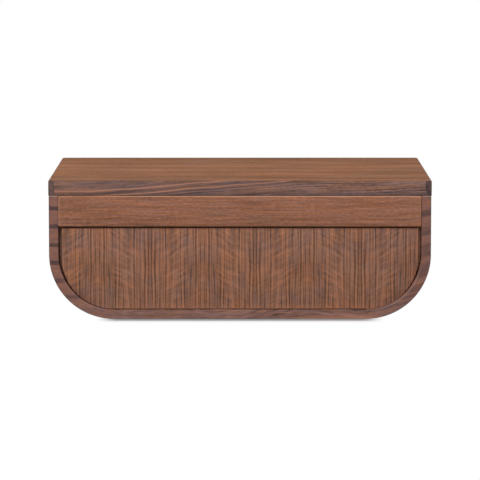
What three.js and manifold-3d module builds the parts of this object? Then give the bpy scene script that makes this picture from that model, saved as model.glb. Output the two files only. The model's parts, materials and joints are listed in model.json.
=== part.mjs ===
// A wall-hung bedside cabinet with one push-to-open drawer.
// Lengths are millimetres. +Z is up, +X is to the right seen from the room, and -Y points into the room.
// The origin is the middle of the wall cleat's back face, which lies on the wall.

import * as THREE from "three";
import { mergeVertices } from "three/addons/utils/BufferGeometryUtils.js";
import Module from "manifold-3d";

const wasm = await Module();
wasm.setup();

// Case, overall
const caseWidth = 609;
const caseDepth = 406;
const caseHeight = 222;
const originBelowTop = 114;
const wallThickness = 15;
const bendRadius = 103;
const edgingDepth = 10;

// Top board
const topThickness = 24;
const topOverhang = 0.5;
const topLippingWidth = 9.5;
const topBackCornerLand = 1.5;

// Back panel and hanging cleats
const cleatThickness = 15;
const cleatWallGap = 1;
const cleatBevelGap = 0.4;
const backPanelThickness = 6;
const wallCleatEndGap = 19.5;
const wallCleatBackHeight = 45;
const wallScrewHoleRadius = 3.25;
const wallScrewSpacing = 135.5;
const wallScrewCount = 4;
const cleatScrewSpacingShare = 0.276;
const cleatScrewCount = 4;

// Fits
const seatGap = 0.3;
const frontGap = 1;
const railGap = 0.4;
const slideRunningGap = 0.5;
const cutOverrun = 1;

// Dowels between the side boards and the top
const dowelRadius = 4;
const dowelLength = 30;
const dowelEndInset = 66;
const dowelCount = 3;

// Drawer front
const railHeight = 48.6;
const railThickness = 17;
const railCornerRadius = 2;
const panelRecess = 8;
const railGroove = 4;
const panelSideReveal = 5;
const panelBottomReveal = 0.8;
const panelCornerStep = 7;
const frontBoardThickness = 12;

// Drawer box
const boxBoardThickness = 12;
const boxBelowTop = 15;
const boxBendGap = 2;
const boxBackGap = 25;
const boxBottomThickness = 6;
const boxBottomRise = 10;
const boxGrooveDepth = 5;
const frontScrewWidthShare = 0.755;
const frontScrewBelowBoxTop = 26;
const frontScrewAboveBoxBottom = 32;

// Drawer slides. Widths run from the side board towards the drawer.
const slideWidth = 12.7;
const slideHeight = 45.4;
const slideLiftShare = 0.22;
const slideBackGap = 51;
const slideSheet = 1;
const cabinetFlangeWidth = 9.4;
const slideLipHeight = 2.2;
const slideHeadGap = 0.4;
const drawerMemberHeight = 33;
const pushTravel = 3;
const catchLength = 18;
const catchHeight = 20;
const slideScrewInset = 35;

// Screws
const screwHeadRadius = 3.6;
const screwHeadHeight = 1.6;
const screwShankRadius = 1.8;
const slideScrewLength = 11;
const cleatScrewLength = 17;
const frontScrewLength = 20;
const screwTipLength = 2.4;

// Counts of facets
const bendFacets = 16;
const smallCornerFacets = 6;
const roundFacets = 12;

// Levels and places that follow from the sizes above
const topZ = originBelowTop;
const underTopZ = topZ - topThickness;
const bottomZ = topZ - caseHeight;
const floorZ = bottomZ + wallThickness;
const bendZ = bottomZ + bendRadius;
const halfOutside = caseWidth / 2;
const halfInside = halfOutside - wallThickness;
const bendX = halfOutside - bendRadius;
const frontY = -caseDepth;
const edgingBackY = frontY + edgingDepth;
const halfTop = halfOutside + topOverhang;
const backPanelBackY = -cleatThickness - cleatWallGap;
const backPanelFrontY = backPanelBackY - backPanelThickness;
const railBackY = frontY + railThickness;
const frontBoardBackY = railBackY + frontBoardThickness;
const panelTopZ = underTopZ - railGap - railHeight - railGroove;
const innerRadius = bendRadius - wallThickness;
const halfBox = halfInside - slideWidth;
const boxTopZ = underTopZ - boxBelowTop;
const boxBackY = backPanelFrontY - boxBackGap;
const slideFreeHeight = underTopZ - bendZ - slideHeight;
const slideZ = bendZ + slideHeight / 2 + slideLiftShare * slideFreeHeight;
const slideFrontY = frontBoardBackY + pushTravel + frontGap;
const slideBackY = backPanelFrontY - slideBackGap;

// The box's lower corners just clear the inside of the bends.
const boxCornerReach = Math.sqrt((innerRadius - boxBendGap) ** 2 - (innerRadius - slideWidth) ** 2);
const boxBottomZ = floorZ + innerRadius - boxCornerReach;
const boxFloorZ = boxBottomZ + boxBottomRise;
const innerMemberBackY = slideBackY - catchLength - pushTravel - frontGap;

const LEFT = -1;
const RIGHT = 1;
const sides = [
  { word: "left", side: LEFT },
  { word: "right", side: RIGHT },
];

// Finishes
const walnut = (color) =>
  new THREE.MeshStandardMaterial({ color, roughness: 0.55, metalness: 0 });
const topWalnut = walnut(0x8f654d);
const lippingWalnut = walnut(0x725751);
const edgingWalnut = walnut(0x77554b);
const railWalnut = walnut(0x895e4b);
const panelWalnut = walnut(0x835e4e);
const caseWalnut = walnut(0x7d5a49);
const birch = new THREE.MeshStandardMaterial({ color: 0xcdb086, roughness: 0.6, metalness: 0 });
const beech = new THREE.MeshStandardMaterial({ color: 0xc79f74, roughness: 0.7, metalness: 0 });
const zincSteel = new THREE.MeshStandardMaterial({ color: 0xaeb2b5, roughness: 0.35, metalness: 1 });
const greyPlastic = new THREE.MeshStandardMaterial({ color: 0x5b5e61, roughness: 0.5, metalness: 0 });

// A geometry as a solid that can be cut.
function solidOf(geometry) {
  const bare = geometry.index ? geometry.toNonIndexed() : geometry.clone();
  bare.deleteAttribute("normal");
  bare.deleteAttribute("uv");
  const merged = mergeVertices(bare);
  const vertProperties = new Float32Array(merged.attributes.position.array);
  const triVerts = new Uint32Array(merged.index.array);
  return new wasm.Manifold(new wasm.Mesh({ numProp: 3, vertProperties, triVerts }));
}

// A solid as a flat-shaded geometry.
function geometryOf(solid) {
  const mesh = solid.getMesh();
  const geometry = new THREE.BufferGeometry();
  geometry.setAttribute("position", new THREE.BufferAttribute(mesh.vertProperties, mesh.numProp));
  geometry.setIndex(new THREE.BufferAttribute(mesh.triVerts, 1));
  const flat = geometry.toNonIndexed();
  flat.computeVertexNormals();
  return flat;
}

// The mesh with each tool's space taken away. Mesh and tools stand in one frame.
function cut(mesh, tools) {
  mesh.updateMatrix();
  const toMesh = mesh.matrix.clone().invert();
  let solid = solidOf(mesh.geometry);
  for (const tool of tools) {
    tool.updateMatrix();
    const moved = tool.geometry.clone().applyMatrix4(toMesh.clone().multiply(tool.matrix));
    solid = solid.subtract(solidOf(moved));
  }
  mesh.geometry = geometryOf(solid);
  return mesh;
}

function meshOf(name, geometry, material) {
  const mesh = new THREE.Mesh(geometry, material);
  mesh.name = name;
  return mesh;
}

// A box given by its two ends along each axis, in any order.
function board(name, material, x, y, z) {
  const size = [x, y, z].map(([from, to]) => Math.abs(to - from));
  const middle = [x, y, z].map(([from, to]) => (from + to) / 2);
  const mesh = meshOf(name, new THREE.BoxGeometry(...size), material);
  mesh.position.set(...middle);
  return mesh;
}

// Which world axes a drawn shape's own axes and its depth lie along.
const X = new THREE.Vector3(1, 0, 0);
const Y = new THREE.Vector3(0, 1, 0);
const Z = new THREE.Vector3(0, 0, 1);
const acrossFront = new THREE.Matrix4().makeBasis(X, Z, Y.clone().negate());
const alongWidth = new THREE.Matrix4().makeBasis(Y, Z, X);

// A shape drawn in X and Z, as thick as the space between two places on Y.
function upright(name, material, shape, fromY, toY, curveSegments) {
  const depth = Math.abs(toY - fromY);
  const geometry = new THREE.ExtrudeGeometry(shape, { depth, bevelEnabled: false, curveSegments });
  geometry.applyMatrix4(acrossFront);
  const mesh = meshOf(name, geometry, material);
  mesh.position.y = Math.max(fromY, toY);
  return mesh;
}

// A round bar along one axis, for dowels and for boring holes.
function bar(name, material, radius, length, along) {
  const mesh = meshOf(name, new THREE.CylinderGeometry(radius, radius, length, roundFacets), material);
  mesh.quaternion.setFromUnitVectors(Y, along);
  return mesh;
}

// A pan-head screw with its head's underside at the given place, and its head pointing out.
function screw(name, place, headOut, length) {
  const outline = [
    [0, -length],
    [screwShankRadius, -length + screwTipLength],
    [screwShankRadius, 0],
    [screwHeadRadius, 0],
    [screwHeadRadius, screwHeadHeight / 2],
    [screwShankRadius, screwHeadHeight],
    [0, screwHeadHeight],
  ].map(([radius, height]) => new THREE.Vector2(radius, height));
  const mesh = meshOf(name, new THREE.LatheGeometry(outline, roundFacets), zincSteel);
  mesh.quaternion.setFromUnitVectors(Y, headOut);
  mesh.position.copy(place);
  return mesh;
}

// The hole that a screw's shank needs, bored from its head's seat to just past its tip.
function screwHole(place, headOut, length) {
  const bored = length + seatGap + cutOverrun;
  const tool = bar("hole", zincSteel, screwShankRadius + seatGap, bored, headOut);
  tool.position.copy(place).addScaledVector(headOut, cutOverrun - bored / 2);
  return tool;
}

// Evenly spaced places about zero.
function spread(count, spacing) {
  return Array.from({ length: count }, (_, i) => (i - (count - 1) / 2) * spacing);
}

// The quarter ring of one lower corner, drawn in X and Z.
function bendShape(side) {
  const shape = new THREE.Shape();
  const centreX = side * bendX;
  const sideways = side === RIGHT ? 0 : Math.PI;
  const down = side === RIGHT ? -Math.PI / 2 : 1.5 * Math.PI;
  shape.moveTo(centreX + side * bendRadius, bendZ);
  shape.absarc(centreX, bendZ, bendRadius, sideways, down, side === RIGHT);
  shape.lineTo(centreX, bendZ - innerRadius);
  shape.absarc(centreX, bendZ, innerRadius, down, sideways, side === LEFT);
  return shape;
}

// A plate with square upper corners and round lower ones, drawn in X and Z.
function bowlShape(halfWidth, topLevel, bottomLevel, radius) {
  const shape = new THREE.Shape();
  shape.moveTo(-halfWidth, topLevel);
  shape.lineTo(-halfWidth, bottomLevel + radius);
  shape.absarc(-halfWidth + radius, bottomLevel + radius, radius, Math.PI, 1.5 * Math.PI, false);
  shape.absarc(halfWidth - radius, bottomLevel + radius, radius, 1.5 * Math.PI, 2 * Math.PI, false);
  shape.lineTo(halfWidth, topLevel);
  return shape;
}

// A rectangle with its four corners rounded alike, drawn in X and Z.
function roundedShape(halfWidth, topLevel, bottomLevel, radius) {
  const shape = new THREE.Shape();
  const right = halfWidth - radius;
  const upper = topLevel - radius;
  const lower = bottomLevel + radius;
  shape.absarc(right, upper, radius, 0, Math.PI / 2, false);
  shape.absarc(-right, upper, radius, Math.PI / 2, Math.PI, false);
  shape.absarc(-right, lower, radius, Math.PI, 1.5 * Math.PI, false);
  shape.absarc(right, lower, radius, 1.5 * Math.PI, 2 * Math.PI, false);
  return shape;
}

function topCore() {
  const half = halfTop - topLippingWidth;
  const y = [frontY + topLippingWidth, 0];
  return board("top_panel", topWalnut, [-half, half], y, [underTopZ, topZ]);
}

function topFrontLipping() {
  const half = halfTop - topLippingWidth;
  const y = [frontY, frontY + topLippingWidth];
  return board("top_front_lipping", lippingWalnut, [-half, half], y, [underTopZ, topZ]);
}

// A strip along one end of the top, with its back outer corner rounded in plan.
function topSideLipping({ word, side }) {
  const outer = side * halfTop;
  const inner = outer - side * topLippingWidth;
  const radius = topLippingWidth - topBackCornerLand;
  const shape = new THREE.Shape();
  shape.moveTo(inner, frontY);
  shape.lineTo(outer, frontY);
  shape.lineTo(outer, -radius);
  const start = side === RIGHT ? 0 : Math.PI;
  shape.absarc(outer - side * radius, -radius, radius, start, Math.PI / 2, side === LEFT);
  shape.lineTo(inner, 0);
  const geometry = new THREE.ExtrudeGeometry(shape, {
    depth: topThickness,
    bevelEnabled: false,
    curveSegments: smallCornerFacets,
  });
  const mesh = meshOf(`top_${word}_lipping`, geometry, lippingWalnut);
  mesh.position.z = underTopZ;
  return mesh;
}

// The five staves of the U-shaped wall between two places on Y.
function staves(names, material, fromY, toY) {
  const across = [-bendX, bendX];
  const y = [fromY, toY];
  const made = [board(names.bottom, material, across, y, [bottomZ, floorZ])];
  for (const { word, side } of sides) {
    const x = [side * halfInside, side * halfOutside];
    made.push(board(names.side(word), material, x, y, [bendZ, underTopZ]));
    made.push(upright(names.bend(word), material, bendShape(side), fromY, toY, bendFacets));
  }
  return made;
}

function caseStaves() {
  const names = {
    bottom: "bottom_board",
    side: (word) => `${word}_side_board`,
    bend: (word) => `${word}_bend`,
  };
  return staves(names, caseWalnut, edgingBackY, 0);
}

function edgingStaves() {
  const names = {
    bottom: "bottom_front_edging",
    side: (word) => `${word}_front_edging`,
    bend: (word) => `${word}_bend_edging`,
  };
  return staves(names, edgingWalnut, frontY, edgingBackY);
}

function backPanel() {
  const shape = bowlShape(halfInside - seatGap, underTopZ, floorZ + seatGap, innerRadius - seatGap);
  return upright("back_panel", caseWalnut, shape, backPanelFrontY, backPanelBackY, bendFacets);
}

// The strip on the wall. Its top slopes down towards the wall, so that it hooks the case cleat.
const wallCleatBottomZ = -wallCleatBackHeight / 2;
const wallCleatBackTopZ = wallCleatBackHeight / 2;
const wallCleatFrontTopZ = wallCleatBackTopZ + cleatThickness;

function wallCleat() {
  const shape = new THREE.Shape([
    new THREE.Vector2(0, wallCleatBottomZ),
    new THREE.Vector2(0, wallCleatBackTopZ),
    new THREE.Vector2(-cleatThickness, wallCleatFrontTopZ),
    new THREE.Vector2(-cleatThickness, wallCleatBottomZ),
  ]);
  const mesh = lengthwise("wall_cleat", birch, shape, 2 * (halfInside - wallCleatEndGap));
  const holes = spread(wallScrewCount, wallScrewSpacing).map((x) => {
    const length = cleatThickness + 2 * cutOverrun;
    const hole = bar("hole", birch, wallScrewHoleRadius, length, Y);
    hole.position.set(x, -cleatThickness / 2, 0);
    return hole;
  });
  return cut(mesh, holes);
}

// The strip on the case, under the top and behind the back panel.
const caseCleatBackY = -cleatWallGap;
const bevelLift = wallCleatBackTopZ + cleatBevelGap;

function caseCleat() {
  const shape = new THREE.Shape([
    new THREE.Vector2(caseCleatBackY, bevelLift - caseCleatBackY),
    new THREE.Vector2(caseCleatBackY, underTopZ),
    new THREE.Vector2(backPanelBackY, underTopZ),
    new THREE.Vector2(backPanelBackY, bevelLift - backPanelBackY),
  ]);
  return lengthwise("case_cleat", birch, shape, 2 * (halfInside - seatGap));
}

// A shape drawn in Y and Z, centred along X.
function lengthwise(name, material, shape, length) {
  const geometry = new THREE.ExtrudeGeometry(shape, { depth: length, bevelEnabled: false });
  geometry.applyMatrix4(alongWidth);
  const mesh = meshOf(name, geometry, material);
  mesh.position.x = -length / 2;
  return mesh;
}

// One U-section of sheet steel with turned-in or turned-out lips, drawn in X and Z.
// Widths are from the side board: the web's far face, the flanges' free ends, and which way the lips turn.
function channelShape(side, webFace, flangeEnd, halfHeight, lip) {
  const towards = Math.sign(flangeEnd - webFace);
  const webBack = webFace + towards * slideSheet;
  const flangeInner = flangeEnd - towards * slideSheet;
  const inner = halfHeight - slideSheet;
  const turned = lip < 0 ? inner + lip : halfHeight + lip;
  const [first, second] = lip < 0 ? [flangeEnd, flangeInner] : [flangeInner, flangeEnd];
  const half = [
    [webFace, halfHeight],
    [first, halfHeight],
    [first, turned],
    [second, turned],
    [second, inner],
    [webBack, inner],
  ];
  const lower = half.map(([width, height]) => [width, -height]).reverse();
  const points = [...half, ...lower];
  return new THREE.Shape(
    points.map(([width, height]) => new THREE.Vector2(side * (halfInside - width), slideZ + height)),
  );
}

const middleWebFace = slideSheet + screwHeadHeight + slideHeadGap;
const middleFlangeEnd = cabinetFlangeWidth - slideSheet - slideRunningGap;
const middleHalfHeight = slideHeight / 2 - slideSheet - slideRunningGap;
const drawerFlangeEnd = middleWebFace + slideSheet + slideRunningGap;
const drawerLipHeight = middleHalfHeight - slideSheet - slideRunningGap - drawerMemberHeight / 2;

function cabinetMember({ word, side }) {
  const shape = channelShape(side, 0, cabinetFlangeWidth, slideHeight / 2, -slideLipHeight);
  return upright(`${word}_slide_cabinet_member`, zincSteel, shape, slideFrontY, slideBackY);
}

function middleMember({ word, side }) {
  const shape = channelShape(side, middleWebFace, middleFlangeEnd, middleHalfHeight, -slideLipHeight);
  return upright(`${word}_slide_middle_member`, zincSteel, shape, slideFrontY, innerMemberBackY);
}

function drawerMember({ word, side }) {
  const shape = channelShape(side, slideWidth, drawerFlangeEnd, drawerMemberHeight / 2, drawerLipHeight);
  return upright(`${word}_slide_drawer_member`, zincSteel, shape, slideFrontY, innerMemberBackY);
}

// The plastic catch that holds the closed drawer and lets go when the front is pressed.
function pushCatch({ word, side }) {
  const x = [slideSheet, middleFlangeEnd].map((width) => side * (halfInside - width));
  const y = [slideBackY - catchLength, slideBackY];
  const z = [slideZ - catchHeight / 2, slideZ + catchHeight / 2];
  return board(`${word}_push_catch`, greyPlastic, x, y, z);
}

// Dowels in each side board's top edge, with the holes for them.
function addDowels(group, named) {
  const spacing = (caseDepth - 2 * dowelEndInset) / (dowelCount - 1);
  for (const { word, side } of sides) {
    const x = side * (halfInside + wallThickness / 2);
    const holes = [];
    for (let i = 0; i < dowelCount; i += 1) {
      const y = frontY + dowelEndInset + i * spacing;
      const dowel = bar(`${word}_top_dowel_${i + 1}`, beech, dowelRadius, dowelLength, Z);
      dowel.position.set(x, y, underTopZ);
      group.add(dowel);
      const hole = bar("hole", beech, dowelRadius + seatGap, dowelLength + 2 * seatGap, Z);
      hole.position.copy(dowel.position);
      holes.push(hole);
    }
    for (const name of ["top_panel", `top_${word}_lipping`, `${word}_side_board`]) cut(named(name), holes);
  }
}

// Screws that go through or into the named boards, with the holes for them.
function addScrews(group, named, seats, boards) {
  for (const { name, place, headOut, length } of seats) group.add(screw(name, place, headOut, length));
  const holes = seats.map(({ place, headOut, length }) => screwHole(place, headOut, length));
  for (const name of boards) cut(named(name), holes);
}

function cleatScrewSeats() {
  const z = (bevelLift - backPanelBackY + underTopZ) / 2;
  const spacing = cleatScrewSpacingShare * 2 * halfInside;
  return spread(cleatScrewCount, spacing).map((x, i) => ({
    name: `cleat_screw_${i + 1}`,
    place: new THREE.Vector3(x, backPanelFrontY, z),
    headOut: Y.clone().negate(),
    length: cleatScrewLength,
  }));
}

// Two screws for one member of a slide, one near each end.
function slideScrewSeats(name, side, width, headOut, backY) {
  const x = side * (halfInside - width);
  const ends = [
    { end: "front", y: slideFrontY + slideScrewInset },
    { end: "back", y: backY - slideScrewInset },
  ];
  return ends.map(({ end, y }) => ({
    name: `${name}_${end}`,
    place: new THREE.Vector3(x, y, slideZ),
    headOut,
    length: slideScrewLength,
  }));
}

function frontScrewSeats() {
  const levels = [
    { level: "upper", z: boxTopZ - frontScrewBelowBoxTop },
    { level: "lower", z: boxBottomZ + frontScrewAboveBoxBottom },
  ];
  const x = frontScrewWidthShare * (halfBox - boxBoardThickness);
  const y = frontBoardBackY + boxBoardThickness;
  return sides.flatMap(({ word, side }) =>
    levels.map(({ level, z }) => ({
      name: `front_screw_${word}_${level}`,
      place: new THREE.Vector3(side * x, y, z),
      headOut: Y.clone(),
      length: frontScrewLength,
    })),
  );
}

function drawerRail() {
  const top = underTopZ - railGap;
  const shape = roundedShape(halfInside - railGap, top, top - railHeight, railCornerRadius);
  return upright("drawer_rail", railWalnut, shape, frontY, railBackY, smallCornerFacets);
}

function drawerPanel() {
  const bottom = floorZ + panelBottomReveal;
  const shape = bowlShape(halfInside - panelSideReveal, panelTopZ, bottom, innerRadius - panelCornerStep);
  return upright("drawer_panel", panelWalnut, shape, frontY + panelRecess, railBackY, bendFacets);
}

function drawerFrontBoard() {
  const radius = innerRadius - frontGap;
  const shape = bowlShape(halfInside - frontGap, underTopZ - frontGap, floorZ + frontGap, radius);
  return upright("drawer_front_board", caseWalnut, shape, railBackY, frontBoardBackY, bendFacets);
}

function drawerBottom() {
  const inset = boxBoardThickness - boxGrooveDepth + seatGap;
  const halfX = halfBox - inset;
  const y = [frontBoardBackY + inset, boxBackY - inset];
  return board("drawer_bottom", birch, [-halfX, halfX], y, [boxFloorZ, boxFloorZ + boxBottomThickness]);
}

// The space of the drawer bottom with its fit, which cuts the grooves in the boards round it.
function bottomGrooveTool() {
  const inset = boxBoardThickness - boxGrooveDepth;
  const halfX = halfBox - inset;
  const y = [frontBoardBackY + inset, boxBackY - inset];
  const z = [boxFloorZ - seatGap / 2, boxFloorZ + boxBottomThickness + seatGap / 2];
  return board("groove", birch, [-halfX, halfX], y, z);
}

function drawerBox() {
  const inner = halfBox - boxBoardThickness;
  const z = [boxBottomZ, boxTopZ];
  const groove = bottomGrooveTool();
  const frontEnds = [frontBoardBackY, frontBoardBackY + boxBoardThickness];
  const backEnds = [boxBackY - boxBoardThickness, boxBackY];
  const boards = sides.map(({ word, side }) =>
    board(`drawer_${word}_side`, birch, [side * inner, side * halfBox], [frontBoardBackY, boxBackY], z),
  );
  boards.push(board("drawer_box_front", birch, [-inner, inner], frontEnds, z));
  boards.push(board("drawer_box_back", birch, [-inner, inner], backEnds, z));
  return [...boards.map((one) => cut(one, [groove])), drawerBottom()];
}

function caseGroup() {
  const group = new THREE.Group();
  const named = (name) => group.getObjectByName(name);
  group.add(topCore(), topFrontLipping(), ...sides.map(topSideLipping));
  group.add(...caseStaves(), ...edgingStaves(), backPanel(), caseCleat(), wallCleat());
  group.add(...sides.map(cabinetMember), ...sides.map(pushCatch));
  addDowels(group, named);
  addScrews(group, named, cleatScrewSeats(), ["back_panel", "case_cleat"]);
  for (const { word, side } of sides) {
    const towardsDrawer = X.clone().multiplyScalar(-side);
    const seats = slideScrewSeats(`${word}_case_screw`, side, slideSheet, towardsDrawer, innerMemberBackY);
    addScrews(group, named, seats, [`${word}_slide_cabinet_member`, `${word}_side_board`]);
  }
  return group;
}

function drawerGroup() {
  const group = new THREE.Group();
  const named = (name) => group.getObjectByName(name);
  group.add(drawerRail(), drawerPanel(), drawerFrontBoard(), ...drawerBox());
  group.add(...sides.map(drawerMember));
  addScrews(group, named, frontScrewSeats(), ["drawer_box_front", "drawer_front_board"]);
  for (const { word, side } of sides) {
    const towardsCase = X.clone().multiplyScalar(side);
    const width = slideWidth - slideSheet;
    const seats = slideScrewSeats(`${word}_drawer_screw`, side, width, towardsCase, innerMemberBackY);
    addScrews(group, named, seats, [`${word}_slide_drawer_member`, `drawer_${word}_side`]);
  }
  return group;
}

const nightstand = new THREE.Group();
nightstand.add(caseGroup(), ...sides.map(middleMember), drawerGroup());

export default nightstand;
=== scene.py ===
"""Looks of a wall-hung walnut bedside cabinet with one push-to-open drawer.

Lengths are in metres and in the cabinet's own frame: +Z is up, -Y points into the room, and the
wall is at Y = 0. Inside the finishes they are in millimetres, in the same frame.
"""
import json
import math

import bmesh
import bpy
from mathutils import Matrix, Vector

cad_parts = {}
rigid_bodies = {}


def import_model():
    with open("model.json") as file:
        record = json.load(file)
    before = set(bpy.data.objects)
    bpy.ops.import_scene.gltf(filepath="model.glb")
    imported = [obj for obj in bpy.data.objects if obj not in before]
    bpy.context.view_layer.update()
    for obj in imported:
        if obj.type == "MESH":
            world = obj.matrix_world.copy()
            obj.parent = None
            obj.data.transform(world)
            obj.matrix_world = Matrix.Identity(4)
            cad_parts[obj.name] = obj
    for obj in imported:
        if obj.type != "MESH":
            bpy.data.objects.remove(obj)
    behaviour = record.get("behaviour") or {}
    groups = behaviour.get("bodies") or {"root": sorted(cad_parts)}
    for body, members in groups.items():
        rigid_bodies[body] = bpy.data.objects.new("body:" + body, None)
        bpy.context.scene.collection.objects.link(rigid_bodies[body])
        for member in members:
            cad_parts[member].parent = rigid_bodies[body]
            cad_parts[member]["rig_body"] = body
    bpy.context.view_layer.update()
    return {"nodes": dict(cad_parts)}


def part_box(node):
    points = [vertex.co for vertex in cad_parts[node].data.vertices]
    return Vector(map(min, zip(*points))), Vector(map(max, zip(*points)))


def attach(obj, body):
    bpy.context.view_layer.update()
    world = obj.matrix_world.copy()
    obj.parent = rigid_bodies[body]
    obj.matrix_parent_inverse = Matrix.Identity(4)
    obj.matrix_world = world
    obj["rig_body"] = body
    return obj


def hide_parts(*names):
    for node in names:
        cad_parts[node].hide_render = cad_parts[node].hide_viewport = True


bl_info = {
    "name": "Floating nightstand",
    "version": (1, 0, 0),
    "blender": (4, 5, 0),
    "location": "View3D > Sidebar > Nightstand",
    "description": "Boards, drawer, slides and finishes of a wall-hung bedside cabinet",
    "category": "Object",
}

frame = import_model()

MM = 0.001
LEFT, BOTTOM, RIGHT = -1, 0, 1
SIDES = (("left", LEFT), ("right", RIGHT))
QUARTER = math.pi / 2


def reach(node, axis):
    """Where a CAD node starts and ends along one axis."""
    low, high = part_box(node)
    index = "xyz".index(axis)
    return low[index], high[index]


def paint(red, green, blue):
    """A colour as it looks on a screen, from 0 to 255, as linear values."""
    return tuple(
        c / 12.92 if c <= 0.04045 else ((c + 0.055) / 1.055) ** 2.4
        for c in (red / 255, green / 255, blue / 255)
    )


# Sizes that the boards share, read off the CAD nodes
WALL = reach("left_front_edging", "x")[1] - reach("left_front_edging", "x")[0]
HALF_OUT = -reach("left_front_edging", "x")[0]
HALF_IN = HALF_OUT - WALL
FRONT_Y, EDGING_Y = reach("left_front_edging", "y")
BEND_Z, UNDER_TOP = reach("left_front_edging", "z")
BOTTOM_Z, FLOOR_Z = reach("bottom_board", "z")
BEND_OUTER = BEND_Z - BOTTOM_Z
BEND_INNER = BEND_Z - FLOOR_Z
BEND_X = HALF_OUT - BEND_OUTER


# Sizes and colours that a user may change


def number(name, description, default, **more):
    return bpy.props.FloatProperty(name=name, description=description, default=default, **more)


def length(name, description, millimetres):
    return number(name, description, millimetres * MM, unit="LENGTH", precision=5)


def colour(name, description, *shade):
    return bpy.props.FloatVectorProperty(
        name=name, description=description, default=paint(*shade), size=3, subtype="COLOR", min=0, max=1
    )


class BoardSizes(bpy.types.PropertyGroup):
    """Veneer and rounded arrises of the case and the drawer front."""

    veneer: length("Face veneer", "Thickness of the veneer on the top", 0.6)
    top_arris: length("Upper arris of the top", "Rounding round the top's upper face", 1.2)
    under_arris: length("Lower arris of the top", "Rounding round the top's lower face", 1.0)
    frame_inner_arris: length("Inner arris of the frame", "Rounding of the frame towards the drawer", 1.6)
    frame_outer_arris: length("Outer arris of the frame", "Rounding of the frame's outer edge", 1.0)
    rail_arris: length("Rail arris", "Rounding round the drawer rail's front", 1.2)
    panel_arris: length("Panel arris", "Rounding round the drawer panel's front", 0.15)
    small_arris: length("Small arris", "Rounding of the boards that stay out of sight", 0.8)
    top_back_corner: length("Back corner of the top", "Radius of the top's back corners in plan", 8)
    rail_corner: length("Rail corner", "Radius of the drawer rail's four corners", 2)


class WoodColours(bpy.types.PropertyGroup):
    """Middle colours of the woods."""

    top: colour("Top", "Walnut veneer of the top", 142, 95, 65)
    lipping: colour("Lipping", "Solid walnut along the top's front", 103, 77, 69)
    edging: colour("Edging", "Solid walnut of the frame's front edge", 111, 81, 72)
    rail: colour("Rail", "Solid walnut of the drawer rail", 125, 84, 65)
    panel: colour("Panel", "Book-matched walnut veneer of the drawer panel", 118, 83, 68)
    case: colour("Case", "Walnut veneer of the sides and the bottom", 124, 88, 71)
    birch: colour("Birch", "Face of the birch plywood", 205, 176, 134)
    beech: colour("Beech", "Dowels", 199, 159, 116)


class FittingColours(bpy.types.PropertyGroup):
    """Colours of the metal and plastic fittings."""

    steel: colour("Steel", "Zinc plate on slides and screws", 174, 178, 181)
    plastic: colour("Plastic", "Housings of the push catches", 91, 94, 97)
    plunger: colour("Plunger", "Plungers of the push catches", 176, 178, 176)
    grease: colour("Grease", "Film in the slides' tracks", 150, 138, 110)


class HardwareSizes(bpy.types.PropertyGroup):
    """Slides, catches, screws and dowels."""

    sheet: length("Sheet", "Thickness of the slides' sheet steel", 1.0)
    bend_radius: length("Bend radius", "Outer radius where the sheet is bent", 1.6)
    turned_in: length("Lip turned in", "Lips of the outer and middle members", 2.2)
    turned_out: length("Lip turned out", "Lips of the drawer's member", 3.2)
    screw_hole: length("Screw hole", "Radius of the holes for screws", 2.1)
    slot_width: length("Slot width", "Width of the stamped slots", 4.4)
    slot_length: length("Slot length", "Length of the stamped slots between their round ends", 12)
    catch_corner: length("Catch corner", "Corner radius of the push catch", 1.5)
    plunger_reach: length("Plunger reach", "How far the plunger stands out of its housing", 3)
    plunger_width: length("Plunger width", "Width of the plunger", 3.4)
    plunger_height: length("Plunger height", "Height of the plunger", 9)
    plunger_fit: length("Plunger fit", "Clearance round the plunger", 0.3)
    head_radius: length("Screw head radius", "Radius of the pan heads", 3.6)
    head_height: length("Screw head height", "Height of the pan heads", 1.6)
    shank: length("Thread radius", "Radius over the screw thread", 1.8)
    thread_core: length("Thread core", "Radius of the core under the thread", 1.2)
    thread_pitch: length("Thread pitch", "Rise of one turn of the thread", 1.4)
    screw_tip: length("Screw tip", "Length of the tapered tip", 2.4)
    screw_neck: length("Screw neck", "Length under the head that has no thread", 2.0)
    recess_span: length("Recess span", "Width over the cross recess", 3.6)
    recess_width: length("Recess width", "Width of one arm of the recess", 0.8)
    recess_depth: length("Recess depth", "Depth of the cross recess", 1.3)
    dowel_ease: length("Dowel ease", "Chamfer at the dowels' ends", 0.8)
    flute_depth: length("Flute depth", "Depth of the dowels' flutes", 0.3)
    flutes: bpy.props.IntProperty(name="Flutes", description="Flutes round a dowel", default=12)


class StageSettings(bpy.types.PropertyGroup):
    """Camera, floor and light."""

    lens: number("Lens", "Focal length in millimetres", 232)
    distance: number("Distance", "Camera in front of the wall", 5.301, unit="LENGTH")
    height: number("Height", "Camera above the origin", 0.595, unit="LENGTH")
    pitch: number("Pitch", "Camera tilt below level", math.radians(6.71), subtype="ANGLE")
    sky: number("Sky", "Strength of the even light", 0.5)
    key: number("Key", "Power of the soft box in watts", 152)
    floor: colour("Floor", "Pale floor", 242, 242, 242)
    floor_gap: length("Floor gap", "Space between the floor and the cabinet's bottom", 3.4)
    shadow_margin: length("Shadow margin", "How far the floor's shadow reaches in front of the cabinet", 26)
    shadow: number("Shadow", "Share of the floor's own shading under the cabinet", 0.72)


# Shader writing


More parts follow.
